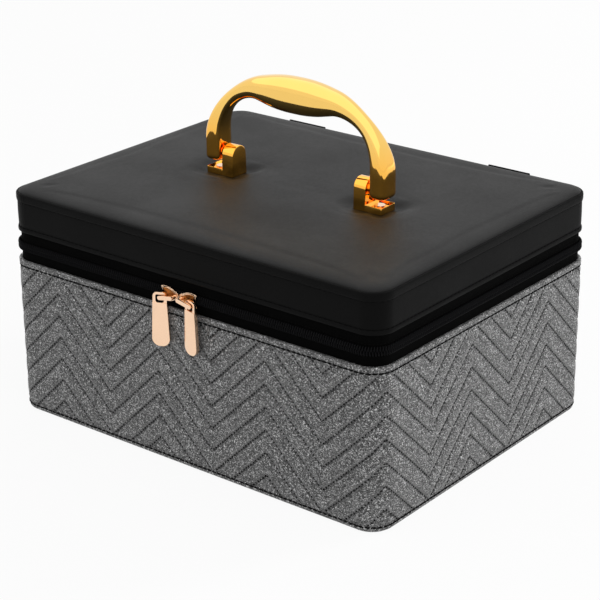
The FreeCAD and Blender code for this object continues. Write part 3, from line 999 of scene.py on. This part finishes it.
@dataclass(frozen=True)
class Interior:
    """Cloth linings of base and lid, and the padded dividers."""

    divider_height: float = 62.0
    divider_half: float = 2.5
    long_y: float = 24.0
    cross_x: float = 41.0
    corner: float = 6.0
    play: float = 0.3
    slit: float = 0.4
    floor_steps: tuple[float, ...] = (14.0, 40.0, 70.0)

    def wrinkle(self, run: float, height: float) -> float:
        """Slight slackness of the cloth."""
        return 0.25 * noise.noise(Vector((run / 30.0, height / 22.0, 9.0)))

    def close(self, sheet: bmesh.types.BMesh) -> bmesh.types.BMesh:
        """Closes the narrow slit that a swept sheet leaves in the middle of a floor.

        Args:
            sheet: The swept sheet, which is changed.

        Returns:
            The same mesh.
        """
        middle = CASE.depth / 2 - self.slit
        rim = [edge for edge in sheet.edges if edge.is_boundary
               and all(abs(vert.co.y) < self.slit + 0.5 for vert in edge.verts) and abs(edge.verts[0].co.x) < middle]
        bmesh.ops.edgeloop_fill(sheet, edges=rim)
        return sheet

    def linings(self) -> None:
        """Builds both linings as sheets that turn from wall to floor."""
        inner, top = LEVELS.lining_inset, LEVELS.ceiling
        steps = self.floor_steps + (CASE.depth / 2 - self.slit,)
        base = [(2.5, 88.5), (2.5, 92.5), (2.9, 93.0), (4.3, 93.0), (inner, 92.5), (inner, 89.0)]
        base += [(inner, z) for z in range(84, 8, -6)]
        base += [(inner + 0.2, 7.2), (inner + 0.8, 6.0)] + [(step, LEVELS.floor) for step in (inner + 2.0,) + steps]
        lid = [(step, top) for step in steps[::-1] + (inner + 2.0,)]
        lid += [(inner + 0.8, top - 0.5), (inner + 0.2, top - 1.7), (inner, 118.0), (inner, 114.0), (inner, 110.4),
                (4.3, 109.9), (2.9, 109.9), (2.5, 110.4), (2.5, 114.0)]
        for word, profile, relief, body in (("base", base, self.wrinkle, Body.BASE), ("lid", lid, None, Body.LID)):
            sheet = self.close(ring(profile, CASE.runs(8.0, 2.0), relief))
            publish(sheet, word + "_cloth_lining", LINING, body, [word + "_lining"], 50.0)

    def divider(self, name: str, length: float, centre: Vector, turn: float) -> None:
        """Builds one padded divider.

        Args:
            name: CAD node of the divider.
            length: Its length.
            centre: Middle of its foot.
            turn: Turn in degrees from the X axis.
        """
        half = self.divider_half
        panel = block((-length / 2, -half, 0), (length / 2, half, self.divider_height))
        corners = [e for e in panel.edges if abs(e.verts[0].co.y - e.verts[1].co.y) > 1
                   and min(v.co.z for v in e.verts) > 1]
        bevel(panel, corners, self.corner, 8)
        soften(panel, 1.4, 4)
        layer = panel.loops.layers.uv.new(UV_NAME)
        for face in panel.faces:
            for loop in face.loops:
                loop[layer].uv = ((loop.vert.co.x + loop.vert.co.y) * MM, loop.vert.co.z * MM)
        place = Matrix.Translation(centre) @ Matrix.Rotation(math.radians(turn), 4, "Z")
        bmesh.ops.transform(panel, matrix=place, verts=panel.verts)
        piece = publish(panel, name + "_pad", DIVIDER, Body.BASE, [name], 45.0)

    def build(self) -> None:
        """Builds linings and dividers."""
        self.linings()
        reach_x = CASE.width / 2 - LEVELS.lining_inset - self.play
        reach_y = CASE.depth / 2 - LEVELS.lining_inset - self.play
        floor = LEVELS.floor + 0.05
        back = self.long_y - self.divider_half
        self.divider("divider_long", 2 * reach_x, Vector((0, self.long_y, floor)), 0.0)
        for side in Side:
            self.divider("divider_cross_" + side.word, back + reach_y,
                         Vector((side.value * self.cross_x, (back - reach_y) / 2, floor)), 90.0)


# --- zip ---

@dataclass(frozen=True)
class ZipChain:
    """Tapes and coil teeth, round the front from one end of the hinge to the other."""

    tooth_pitch: float = 1.5
    tooth_length: float = 3.2
    tooth_width: float = 1.05
    tooth_depth: float = 2.0
    tooth_lean: float = 9.0
    overlap: float = 0.45
    tape_gap: float = 0.6
    thread_gap: float = 3.3

    def tape(self, name: str, low: float, high: float, rides: Body) -> None:
        """Builds one tape as a thin strip with its edges turned in.

        Args:
            name: CAD node of the tape.
            low: Height of its lower edge.
            high: Height of its upper edge.
            rides: Body of the tape.
        """
        outer, inner = LEVELS.tape_inset, LEVELS.tape_inset + LEVELS.tape_thickness
        count = 12
        face = [(outer, low + (high - low) * i / count) for i in range(count + 1)]
        profile = [(inner, low)] + face + [(inner, high)]
        start, end = LEVELS.zip_runs
        publish(ring(profile, CASE.part_runs(8.0, 1.6, start, end)), name + "_weave", TAPE, rides, [name], 50.0)

    def teeth(self, name: str, direction: int, rides: Body) -> None:
        """Builds one row of coil turns that reach over the middle of the chain.

        Args:
            name: CAD node of the row.
            direction: 1 for the upper row and -1 for the lower one.
            rides: Body of the row.
        """
        seed = bmesh.new()
        bmesh.ops.create_uvsphere(seed, u_segments=8, v_segments=5, radius=1.0)
        start, end = LEVELS.zip_runs
        count = int((end - start) / self.tooth_pitch) - 1
        places = []
        size = Matrix.Diagonal((self.tooth_width / 2, self.tooth_depth / 2, self.tooth_length / 2, 1.0))
        tilt = Matrix.Rotation(math.radians(self.tooth_lean * direction), 4, "Y")
        height = LEVELS.chain + direction * (self.tooth_length / 2 - self.overlap)
        for i in range(count):
            run = start + self.tooth_pitch * (i + (1.0 if direction > 0 else 0.5))
            turn = Matrix((CASE.tangent(run), -CASE.normal(run), Vector((0, 0, 1)))).transposed().to_4x4()
            places.append(Matrix.Translation(CASE.place(run, 0.5, height)) @ turn @ tilt @ size)
        publish(scatter(seed, places), name + "_teeth", COIL, rides, [name], 180.0)

    def build(self) -> None:
        """Builds both tapes, both rows and the threads that hold the coil to its tape."""
        halves = (("lower", Body.BASE, -1), ("upper", Body.LID, 1))
        self.tape("zip_tape_lower", LEVELS.tape_low, LEVELS.chain - self.tape_gap, Body.BASE)
        self.tape("zip_tape_upper", LEVELS.chain + self.tape_gap, LEVELS.tape_high, Body.LID)
        for word, rides, direction in halves:
            self.teeth("zip_coil_" + word, direction, rides)
        for word, rides, direction in halves:
            row = Seam(2.2, 1.6, 0.4, 0.4)
            row.follow(LEVELS.chain + direction * self.thread_gap, LEVELS.tape_inset - 0.1, *LEVELS.zip_runs)
            row.build("zip_" + word + "_stitches", THREAD, rides)


# --- lid ---

@dataclass(frozen=True)
class Foot:
    """Footprint of a handle bracket on the lid, for the right side, in millimetres."""

    inner_x: float = 43.0
    outer_x: float = 62.1
    half_depth: float = 6.4

    @property
    def middle(self) -> float:
        """Distance of the footprint's middle from the middle of the lid."""
        return (self.inner_x + self.outer_x) / 2

    def gap(self, x: float, y: float) -> float:
        """Distance from the nearer footprint, or 0 inside it."""
        aside = abs(abs(x) - self.middle) - (self.outer_x - self.inner_x) / 2
        return math.hypot(max(aside, 0.0), max(abs(y) - self.half_depth, 0.0))


FOOT = Foot()


@dataclass(frozen=True)
class Lid:
    """Leather side band with two stitched lips, the padded top and what lies hidden under it."""

    crown: float = 2.3
    crown_fall: float = 2.6
    crown_bulge: float = 0.6
    camber: float = 0.2
    rolloff: float = 12.0
    unevenness: float = 0.14
    low_lip: float = 2.7
    high_lip: float = 4.7
    dimple: float = 12.0
    pucker: float = 0.35
    pucker_reach: float = 6.0
    pucker_width: float = 5.0
    sink: float = 0.15
    edge_inset: float = 1.3
    held_edge: float = 1.2
    held_foot: float = 1.0
    held_rise: float = 0.6
    swell: float = 0.4
    columns: int = 170
    rows: int = 132
    steps: int = 20

    @property
    def half(self) -> tuple[float, float]:
        """Half the width and depth of the padded top."""
        return CASE.width / 2 - self.edge_inset, CASE.depth / 2 - self.edge_inset

    @property
    def radius(self) -> float:
        """Radius of its corners."""
        return CASE.radius - self.edge_inset

    def band(self) -> None:
        """Builds the side band, its lips standing a little proud of it."""
        low, top = LEVELS.lid_bottom, LEVELS.seam
        seam, hem = top - self.high_lip, low + self.low_lip
        rise = hem - low
        profile = [(1.6, low + 1.5), (1.5, low + 0.2), (1.0, low), (0.5, low + 0.05), (0.2, low + 0.3),
                   (0.1, low + 0.8), (0.08, low + rise * 0.6), (0.2, hem - 0.45), (0.45, hem - 0.15),
                   (0.8, hem), (0.7, hem + 0.3), (0.6, hem + 0.9), (0.55, hem + 3.0), (0.5, hem + 6.0),
                   (0.5, seam - 6.0), (0.55, seam - 3.0), (0.6, seam - 0.9), (0.7, seam - 0.3), (0.8, seam),
                   (0.45, seam + 0.15), (0.2, seam + 0.45), (0.08, seam + 1.2), (0.08, top - 1.3),
                   (0.2, top - 0.5), (0.55, top - 0.08), (1.0, top), (1.35, top - 0.25), (1.5, top - 1.0)]
        publish(ring(profile, CASE.runs(6.0, 1.2), self.slack), "lid_leather_band", LEATHER, Body.LID,
                ["lid_side_band"], 70.0)
        rows = Seam(3.2, 2.6, 0.7, 0.6)
        for height in (hem, seam):
            rows.follow(height, 0.62, 0.0, CASE.perimeter)
        rows.build("lid_edge_stitches", THREAD, Body.LID)

    def slack(self, run: float, height: float) -> float:
        """Slight unevenness of leather stretched over board."""
        return 0.12 * noise.noise(Vector((run / 28.0, height / 12.0, 5.0)))

    def top_height(self, x: float, y: float) -> float:
        """Works out how high the padded top stands.

        Args:
            x: Place across the lid.
            y: Place along it.

        Returns:
            Height above the seam.
        """
        half_x, half_y = self.half
        dx, dy = half_x - abs(x), half_y - abs(y)
        gap = min(dx, dy)
        if max(dx, dy) < self.radius:
            gap = self.radius - math.hypot(self.radius - dx, self.radius - dy)
        share = min(max(gap, 0.0) / self.rolloff, 1.0)
        rise = self.crown * (1 - (1 - share) ** self.crown_fall) ** self.crown_bulge
        rise += self.camber * (1 - (x / half_x) ** 2) * (1 - (y / half_y) ** 2)
        rise += self.unevenness * share * noise.noise(Vector((x / 45.0, y / 38.0, 1.0)))
        away = FOOT.gap(x, y)
        pull = max(1 - away / self.dimple, 0.0)
        turn = math.atan2(y, abs(x) - FOOT.middle)
        fold = math.exp(-((away - self.pucker_reach) / self.pucker_width) ** 2) * math.sin(5 * turn + x / 30.0)
        return rise * (1 - pull * pull * (3 - 2 * pull)) + self.pucker * fold - self.sink

    def settle(self, piece: bpy.types.Object) -> None:
        """Lets the padding press the leather outwards between its stitched edge and the brackets' feet.

        Args:
            piece: The top sheet, which keeps the settled shape as its mesh.
        """
        rest = [vert.co.copy() for vert in piece.data.vertices]
        half_x, half_y = self.half
        held = piece.vertex_groups.new(name="held")
        fast = [i for i, co in enumerate(rest)
                if min(half_x - abs(co.x) / MM, half_y - abs(co.y) / MM) < self.held_edge
                or FOOT.gap(co.x / MM, co.y / MM) < self.held_foot or co.z < (LEVELS.seam + self.held_rise) * MM]
        held.add(fast, 1.0, "REPLACE")
        cloth = piece.modifiers.new("cloth", "CLOTH")
        cloth.settings.vertex_group_mass = "held"
        cloth.settings.quality = 4
        cloth.settings.tension_stiffness = cloth.settings.compression_stiffness = 12.0
        cloth.settings.bending_stiffness = 2.0
        cloth.settings.use_pressure = True
        cloth.settings.uniform_pressure_force = 4.0
        cloth.settings.effector_weights.gravity = 0.0
        cloth.collision_settings.use_collision = False
        scene = bpy.context.scene
        for step in range(self.steps):
            scene.frame_set(step + 1)
        shaped = piece.evaluated_get(bpy.context.evaluated_depsgraph_get())
        settled = [vert.co.copy() for vert in shaped.to_mesh().vertices]
        shaped.to_mesh_clear()
        piece.modifiers.remove(cloth)
        scene.frame_set(1)
        rises = [new.z - old.z for new, old in zip(settled, rest)]
        LOG.info("pad rises between %.2f and %.2f mm", min(rises) / MM, max(rises) / MM)
        cap = self.swell * MM
        for vert, old, rise in zip(piece.data.vertices, rest, rises):
            vert.co.z = old.z + cap * math.tanh(max(rise, 0.0) / cap)
        piece.vertex_groups.remove(held)

    def top(self) -> None:
        """Builds the padded top: a crowned sheet that is pulled down at the brackets' feet."""
        sheet = bmesh.new()
        bmesh.ops.create_grid(sheet, x_segments=self.columns, y_segments=self.rows, size=1.0)
        (half_x, half_y), radius = self.half, self.radius
        for vert in sheet.verts:
            x, y = vert.co.x * half_x, vert.co.y * half_y
            a = (abs(x) - half_x + radius) / radius
            b = (abs(y) - half_y + radius) / radius
            if a > 0 and b > 0:
                x = math.copysign(half_x - radius + radius * a * math.sqrt(1 - b * b / 2), x)
                y = math.copysign(half_y - radius + radius * b * math.sqrt(1 - a * a / 2), y)
            vert.co = (x, y, LEVELS.seam + self.top_height(x, y))
        piece = publish(sheet, "lid_padded_top", PAD_LEATHER, Body.LID, ["lid_top_cover"], 180.0)
        self.settle(piece)
        wall = piece.modifiers.new("thickness", "SOLIDIFY")
        wall.thickness = 0.9 * MM
        wall.offset = -1.0

    def build(self) -> None:
        """Builds the band and the top, and finishes what stays of the CAD."""
        self.band()
        self.top()
        for node, finish in (("lid_side_board", BOARD), ("lid_top_board", BOARD), ("lid_top_pad", FOAM),
                             ("lid_inner_foam", FOAM), ("handle_backing_plate_left", STEEL),
                             ("handle_backing_plate_right", STEEL), ("handle_nuts", STEEL)):
            dress(node, finish)


# --- hinge ---

@dataclass(frozen=True)
class BackHinge:
    """Leather panel and two straps between base and lid."""

    strap_x: float = 74.0
    strap_width: float = 28.0
    strap_thickness: float = 1.2
    strap_low: float = 68.0
    strap_high: float = 132.7
    strap_back: float = 101.0
    bend_low: float = 96.0
    bend_high: float = 107.0
    panel_tuck: float = 1.0
    panel_skin: float = 0.1
    panel_rows: int = 24
    panel_columns: int = 60
    border: float = 2.2
    tab_border: float = 4.0
    upright_stitches: int = 24
    level_stitches: int = 9

    def bend(self, piece: bpy.types.Object) -> None:
        """Bakes a piece's placement into its mesh.

        Args:
            piece: The panel, a strap or its stitches.
        """
        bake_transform(piece)

    def panel(self) -> None:
        """Builds the panel between the ends of the zip, with its ends tucked into the tapes."""
        outer = LEVELS.tape_inset + self.panel_skin
        inner = LEVELS.tape_inset + LEVELS.tape_thickness - self.panel_skin
        low, high, rows, columns = LEVELS.tape_low, LEVELS.tape_high, self.panel_rows, self.panel_columns
        face = [(outer, low + (high - low) * i / rows) for i in range(rows + 1)]
        middle, half = LEVELS.back_run, LEVELS.hinge_half + self.panel_tuck
        runs = [middle - half + 2 * half * i / columns for i in range(columns + 1)]
        profile = [(inner, low)] + face + [(inner, high)]
        self.bend(publish(ring(profile, runs), "hinge_leather_panel", LEATHER, None, ["hinge_panel"], 50.0))

    def strap(self, side: Side) -> None:
        """Builds one strap with its border of stitches.

        Args:
            side: Which strap.
        """
        half, back = self.strap_width / 2, self.strap_back
        centre, face = side.value * self.strap_x, back + self.strap_thickness
        body = block((centre - half, back, self.strap_low), (centre + half, face, self.strap_high))
        uprights = [e for e in body.edges if abs(e.verts[0].co.z - e.verts[1].co.z) > 1]
        bmesh.ops.subdivide_edges(body, edges=uprights, cuts=40, use_grid_fill=True)
        soften(body, 0.4, 3)
        node = "hinge_strap_" + side.word
        self.bend(publish(body, node + "_leather", LEATHER, None, [node], 60.0))
        border = Seam(2.6, 1.8, 0.5, 0.35)
        out, up, along = Vector((0, 1, 0)), Vector((0, 0, 1)), Vector((1, 0, 0))
        low, high, reach = self.strap_low + self.border, self.strap_high - self.border, half - self.border
        for i in range(self.upright_stitches):
            height = low + (high - low) * (i + 0.5) / self.upright_stitches
            for edge in (-reach, reach):
                border.add(Vector((centre + edge, face, height)), up, out)
        for i in range(self.level_stitches):
            x = centre - reach + 2 * reach * (i + 0.5) / self.level_stitches
            for height in (low, high, LEVELS.base_top - self.tab_border, LEVELS.lid_bottom + self.tab_border):
                border.add(Vector((x, face, height)), along, out)
        self.bend(border.build(node + "_stitches", THREAD, None))

    def build(self) -> None:
        """Builds the panel and both straps."""
        self.panel()
        for side in Side:
            self.strap(side)


# --- handle ---

@dataclass(frozen=True)
class CarryHandle:
    """Cast handle with a swelling grip, and the brackets, pins and screws that carry it."""

    leg_x: float = 58.3
    bend_radius: float = 34.3
    grip_rise: float = 54.7
    belly: tuple[float, float] = (10.3, 16.3)
    waist: tuple[float, float] = (3.8, 9.0)
    underside: tuple[tuple[float, float], ...] = ((0.0, 10.1), (8.0, 9.85), (16.0, 8.9), (23.5, 7.3), (30.0, 6.0),
                                                  (37.0, 5.2), (46.0, 4.5), (56.0, 4.2), (67.0, 4.7), (77.9, 5.4))
    waist_travel: float = 47.0
    ease_power: tuple[float, float] = (1.2, 1.45)
    leg: tuple[float, float] = (10.8, 13.8)
    end_rise: float = 7.7
    end_radius: float = 2.6
    grip_squareness: float = 2.6
    leg_squareness: float = 4.0
    rings: int = 72
    around: int = 48
    lug_thickness: float = 8.0
    lug_top: float = 5.7
    plate: float = 4.0
    sunk: float = 0.2
    recess_rim: float = 1.6
    recess_depth: float = 1.8

    @property
    def straight(self) -> float:
        """Half the straight part of the grip."""
        return self.leg_x - self.bend_radius

    @property
    def bend_end(self) -> float:
        """Travel to the foot of the bend."""
        return self.straight + self.bend_radius * math.pi / 2

    @property
    def reach(self) -> float:
        """Travel along the handle from its middle to the end of a leg."""
        return self.bend_end + (self.grip_rise - self.bend_radius - self.end_rise)

    def ease(self, low: float, high: float, share: float) -> float:
        """Value part of the way from low to high, slow at both ends."""
        return low + (high - low) * (1 - math.cos(math.pi * min(max(share, 0.0), 1.0))) / 2

    def size(self, travel: float) -> tuple[float, float, float, float]:
        """Works out the section of the handle.

        Args:
            travel: Travel from the middle of the grip.

        Returns:
            Half thickness outwards and inwards, depth and squareness.
        """
        run_in = (travel - self.waist_travel) / (self.bend_end - self.waist_travel)
        share = min(travel / self.waist_travel, 1.0)
        outer, depth = (self.ease(self.ease(belly, waist, share ** power), leg, run_in) for belly, waist, power, leg
                        in zip(self.belly, self.waist, self.ease_power, (self.leg[0] / 2, self.leg[1])))
        square = self.ease(self.grip_squareness, self.leg_squareness, run_in)
        return outer, self.underside_depth(travel), depth, square

    def underside_depth(self, travel: float) -> float:
        """Follows a smooth line through the underside's points.

        Args:
            travel: Travel from the middle of the grip.

        Returns:
            Half thickness inwards.
        """
        points = self.underside
        if travel >= points[-1][0]:
            return points[-1][1]
        i = max(k for k, point in enumerate(points) if point[0] <= travel)
        slopes = []
        for k in (i, i + 1):
            low, high = points[max(k - 1, 0)], points[min(k + 1, len(points) - 1)]
            slopes.append(0.0 if k in (0, len(points) - 1) else (high[1] - low[1]) / (high[0] - low[0]))
        span = points[i + 1][0] - points[i][0]
        t = (travel - points[i][0]) / span
        return ((2 * t ** 3 - 3 * t ** 2 + 1) * points[i][1] + (t ** 3 - 2 * t ** 2 + t) * span * slopes[0]
                + (3 * t ** 2 - 2 * t ** 3) * points[i + 1][1] + (t ** 3 - t ** 2) * span * slopes[1])

    def station(self, travel: float) -> tuple[Vector, Vector, tuple[float, float, float]]:
        """Places the section of the handle.

        Args:
            travel: Travel from the middle of the grip, below 0 to the left.

        Returns:
            Its centre, the direction of the handle, and its thickness, depth and squareness.
        """
        side = math.copysign(1.0, travel)
        length = abs(travel)
        turn = min(max(length - self.straight, 0.0) / self.bend_radius, math.pi / 2)
        drop = max(length - self.bend_end, 0.0)
        centre = Vector((min(length, self.straight) + self.bend_radius * math.sin(turn), 0,
                         LEVELS.seam + self.grip_rise - self.bend_radius * (1 - math.cos(turn)) - drop))
        direction = Vector((math.cos(turn), 0, -math.sin(turn)))
        outer, inner, depth, square = self.size(length)
        centre += Vector((-direction.z, 0, direction.x)) * (outer - inner) / 2
        near = max(self.end_radius - (self.reach - length), 0.0)
        inset = self.end_radius - math.sqrt(max(self.end_radius ** 2 - near ** 2, 0.0))
        centre.x *= side
        direction.z *= side
        return centre, direction, (outer + inner - 2 * inset, depth - 2 * inset, square)

    def grip(self) -> None:
        """Builds the cast handle as one smooth sweep from leg to leg."""
        ends = [self.reach - self.end_radius * (1 - math.sin(math.radians(a))) for a in range(15, 91, 15)]
        half = [(self.reach - self.end_radius) * i / self.rings for i in range(self.rings + 1)] + ends
        travels = [-half[-1]] + [-t for t in reversed(half[1:])] + half + [half[-1]]
        casting = bmesh.new()
        bmesh.ops.create_grid(casting, x_segments=self.around, y_segments=len(travels) - 1, size=1.0)
        for vert in casting.verts:
            row = round((vert.co.y + 1) / 2 * (len(travels) - 1))
            angle = math.pi * (vert.co.x + 1)
            centre, direction, (thick, deep, square) = self.station(travels[row])
            if row in (0, len(travels) - 1):
                thick = deep = 0.0
            c, s = math.cos(angle), math.sin(angle)
            swell = (abs(c) ** square + abs(s) ** square) ** (-1 / square)
            across = Vector((-direction.z, 0, direction.x))
            vert.co = centre + across * (thick / 2 * swell * c) + Vector((0, deep / 2 * swell * s, 0))
        bmesh.ops.remove_doubles(casting, verts=casting.verts, dist=TOUCHING)
        bmesh.ops.recalc_face_normals(casting, faces=casting.faces)
        publish(casting, "handle_casting", GOLD, Body.HANDLE, ["handle"], 60.0)

    def bracket(self, side: Side) -> None:
        """Builds one bracket: a round-headed lug and a low plate with a square recess.

        Args:
            side: Which bracket.
        """
        seam, half = LEVELS.seam, FOOT.half_depth
        axis, lug_x = seam + LEVELS.pivot_rise, FOOT.inner_x + self.lug_thickness
        lug = block((FOOT.inner_x, -half, seam - self.sunk), (lug_x, half, axis + self.lug_top))
        for vert in lug.verts:
            if vert.co.z > axis:
                vert.co.y *= self.lug_top / half
        shoulders = [e for e in lug.edges if min(v.co.z for v in e.verts) > axis
                     and abs(e.verts[0].co.x - e.verts[1].co.x) > 1]
        bevel(lug, shoulders, self.lug_top * 0.985, 14)
        soften(lug, 0.4, 3, 50.0)
        plate = block((lug_x - 0.3, -half, seam - self.sunk), (FOOT.outer_x, half, seam + self.plate))
        face = max(plate.faces, key=lambda f: f.calc_center_median().z)
        bmesh.ops.inset_individual(plate, faces=[face], thickness=self.recess_rim, use_even_offset=True)
        bmesh.ops.translate(plate, vec=(0, 0, -self.recess_depth), verts=face.verts)
        bmesh.ops.inset_individual(plate, faces=[face], thickness=0.01, use_even_offset=True)
        soften(plate, 0.35, 3, 50.0)
        node = "handle_bracket_" + side.word
        publish(mirrored(merge(lug, plate), side), node + "_casting", GOLD, Body.LID, [node], 35.0)
        dress("handle_pivot_pin_" + side.word, GOLD)

    def build(self) -> None:
        """Builds the handle and both brackets, and finishes the screws."""
        self.grip()
        for side in Side:
            self.bracket(side)
        dress("handle_screws", ROSE)


# --- sliders ---

@dataclass(frozen=True)
class Hardware:
    """Sliders and pulls of the zip, with their edges eased."""

    slider_edge: float = 0.16
    pull_edge: float = 0.3
    same_point: float = 0.002
    flat_angle: float = 3.0
    meet_x: float = 0.8
    gap: float = 0.6
    length: float = 12.1
    half_height: float = 3.6
    nose_radius: float = 2.4
    notch: float = 1.6
    bulge: float = 1.1
    face: float = 3.5
    rim_width: float = 1.0
    rim_rise: float = 0.9
    hollow_rise: float = 0.25
    side_points: int = 12

    def eased(self, node: str, offset: float, rides: Body, smooth: float) -> None:
        """Builds a copy of a CAD node with every edge eased.

        Args:
            node: Name of the node.
            offset: Width of the eased edges.
            rides: Body of the piece.
            smooth: Angle in degrees up to which edges are smooth.
        """
        body = bmesh.new()
        body.from_mesh(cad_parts[node].data)
        bmesh.ops.scale(body, vec=(1 / MM, 1 / MM, 1 / MM), verts=body.verts)
        bmesh.ops.remove_doubles(body, verts=body.verts, dist=self.same_point)
        bmesh.ops.dissolve_limit(body, angle_limit=math.radians(self.flat_angle), verts=body.verts, edges=body.edges)
        soften(body, offset, 2, 32.0)
        publish(body, node + "_polished", ROSE, rides, [node], smooth)

    def leaf(self, side: Side, hollow: bool) -> bmesh.types.BMesh:
        """Builds the raised rim round a slider's leaf-shaped face, or the hollow that it leaves.

        Args:
            side: Which slider.
            hollow: Whether to build the floor of the hollow instead of the rim.

        Returns:
            The mesh, in millimetres, where the slider is.
        """
        nose, end = self.gap / 2 + self.nose_radius, self.gap / 2 + self.length
        outline = [Vector((nose + self.nose_radius * math.cos(math.radians(a)), 0,
                           self.nose_radius * math.sin(math.radians(a)))) for a in range(90, 271, 20)]
        lower = []
        for i in range(self.side_points):
            t = (i + 1) / self.side_points
            height = (1 - t) * self.nose_radius + t * self.half_height + 4 * t * (1 - t) * self.bulge
            lower.append(Vector((nose + t * (end - nose), 0, -height)))
        mouth = [Vector((end - self.notch, 0, 0))]
        upper = [Vector((v.x, 0, -v.z)) for v in reversed(lower)]
        leaf = bmesh.new()
        face = leaf.faces.new([leaf.verts.new(v) for v in outline + lower + mouth + upper])
        leaf.normal_update()
        bmesh.ops.inset_individual(leaf, faces=[face], thickness=self.rim_width, use_even_offset=True)
        unwanted = [f for f in leaf.faces if f is not face] if hollow else [face]
        bmesh.ops.delete(leaf, geom=unwanted, context="FACES")
        bmesh.ops.solidify(leaf, geom=leaf.faces, thickness=self.hollow_rise if hollow else self.rim_rise)
        bmesh.ops.recalc_face_normals(leaf, faces=leaf.faces)
        if not hollow:
            soften(leaf, self.rim_width * 0.3, 2, 50.0)
        centre = Vector((self.meet_x, LEVELS.tape_inset - CASE.depth / 2 - self.face, LEVELS.chain))
        bmesh.ops.scale(leaf, vec=(side.value, 1, 1), verts=leaf.verts)
        bmesh.ops.translate(leaf, vec=centre, verts=leaf.verts)
        bmesh.ops.recalc_face_normals(leaf, faces=leaf.faces)
        return leaf

    def build(self) -> None:
        """Builds both sliders and both pulls."""
        for side, slider, pull in ((Side.LEFT, Body.SLIDER_LEFT, Body.PULL_LEFT),
                                   (Side.RIGHT, Body.SLIDER_RIGHT, Body.PULL_RIGHT)):
            self.eased("zip_slider_" + side.word, self.slider_edge, slider, 35.0)
            publish(self.leaf(side, False), "zip_slider_rim_" + side.word, ROSE, slider, (), 40.0)
            # The hollow's floor takes the painted-shade copy of the rose gold.
            publish(self.leaf(side, True), "zip_slider_hollow_" + side.word, ROSE_SHADED, slider, (), 40.0)
            self.eased("zip_pull_" + side.word, self.pull_edge, pull, 35.0)


# --- studio ---

@dataclass(frozen=True)
class Studio:
    """Camera, soft lights, pale floor and white surroundings."""

    camera_place: tuple[float, float, float] = (0.62925, -0.7826, 0.48026)
    azimuth: float = 38.784
    elevation: float = 22.426
    roll: float = -0.537
    lens: float = 113.73
    world_level: float = 0.36
    sky_glossy: float = 1.0
    floor_seen: float = 0.92
    floor_glossy: float = 0.86
    floor_half: float = 4000.0
    floor_drop: float = 0.05
    aim: tuple[float, float, float] = (0.0, 0.0, 0.08)

    def camera(self) -> None:
        """Places the camera."""
        data = bpy.data.cameras.new("camera")
        data.lens = self.lens
        data.sensor_width = 36.0
        data.clip_start, data.clip_end = 0.05, 50.0
        eye = install("camera", data)
        a, e = math.radians(self.azimuth), math.radians(self.elevation)
        back = Vector((math.sin(a) * math.cos(e), -math.cos(a) * math.cos(e), math.sin(e)))
        right = (-back).cross(Vector((0, 0, 1))).normalized()
        up = right.cross(-back)
        turn = Matrix((right, up, back)).transposed() @ Matrix.Rotation(math.radians(self.roll), 3, "Z")
        eye.matrix_world = Matrix.Translation(self.camera_place) @ turn.to_4x4()
        bpy.context.scene.camera = eye

    def lamp(self, name: str, place: tuple[float, float, float], size: float, power: float,
             shows: bool = False) -> None:
        """Adds a soft square lamp that faces the case.

        Args:
            name: Name of the lamp.
            place: Where it stands, in metres.
            size: Length of a side, in metres.
            power: Power in watts.
            shows: Whether it shows in shiny pieces.
        """
        data = bpy.data.lights.new(name, "AREA")
        data.shape = "SQUARE"
        data.size = size
        data.energy = power
        lamp = install(name, data)
        aim = Vector(self.aim) - Vector(place)
        lamp.visible_glossy = shows
        lamp.matrix_world = Matrix.Translation(place) @ aim.to_track_quat("-Z", "Y").to_matrix().to_4x4()

    def world(self) -> None:
        """White surroundings as seen and reflected, dimmer as a light."""
        bench = Bench(bpy.data.worlds.new("studio"))
        bpy.context.scene.world = bench.owner
        level: float | Signal = self.world_level
        for ray, seen in (("Is Glossy Ray", self.sky_glossy), ("Is Camera Ray", 1.0)):
            rays = Signal(bench, bench.node("ShaderNodeLightPath", {}, {}).outputs[ray])
            step = bench.node("ShaderNodeMapRange", {}, {"Value": rays, "To Min": level, "To Max": seen})
            level = Signal(bench, step.outputs[0])
        bench.set(Color=grey(1.0), Strength=level)

    def floor(self) -> None:
        """Pale floor that keeps the shadow."""
        sheet = bmesh.new()
        bmesh.ops.create_grid(sheet, x_segments=4, y_segments=4, size=self.floor_half)
        bmesh.ops.translate(sheet, vec=(0, 0, -self.floor_drop), verts=sheet.verts)
        bench = Bench(bpy.data.materials.new("studio_floor"))
        bench.set(Base_Color=grey(0.85), Roughness=0.9)
        glow = bench.node("ShaderNodeEmission", {}, {"Color": grey(1.0)})
        rays = bench.node("ShaderNodeLightPath", {}, {})
        seen, glossy = (Signal(bench, rays.outputs[name]) for name in ("Is Camera Ray", "Is Glossy Ray"))
        mix = bench.node("ShaderNodeMixShader", {}, {
            0: seen * self.floor_seen + glossy * self.floor_glossy,
            1: Signal(bench, bench.shader.outputs[0]),
            2: Signal(bench, glow.outputs[0])})
        bench.tree.links.new(mix.outputs[0], bench.tree.nodes["Material Output"].inputs["Surface"])
        floor = install("floor", to_mesh(sheet, "floor", bench.owner))

    def build(self) -> None:
        """Sets up the whole studio."""
        self.camera()
        self.world()
        self.floor()
        self.lamp("key", (1.5, -0.9, 1.1), 1.0, 10.0)
        self.lamp("rake", (0.9, 1.6, 0.35), 0.5, 30.0)
        self.lamp("overhead", (-0.1, -0.4, 1.9), 6.0, 44.0, True)
        bpy.context.scene.view_settings.view_transform = "Standard"


def main() -> None:
    """Builds the case piece by piece, then the studio."""
    logging.basicConfig(level=logging.INFO)
    for part in (QuiltedBase(), Interior(), ZipChain(), Lid(), BackHinge(), CarryHandle(), Hardware(), Studio()):
        part.build()
        LOG.info("built %s", type(part).__name__)


if __name__ == "__main__":
    main()
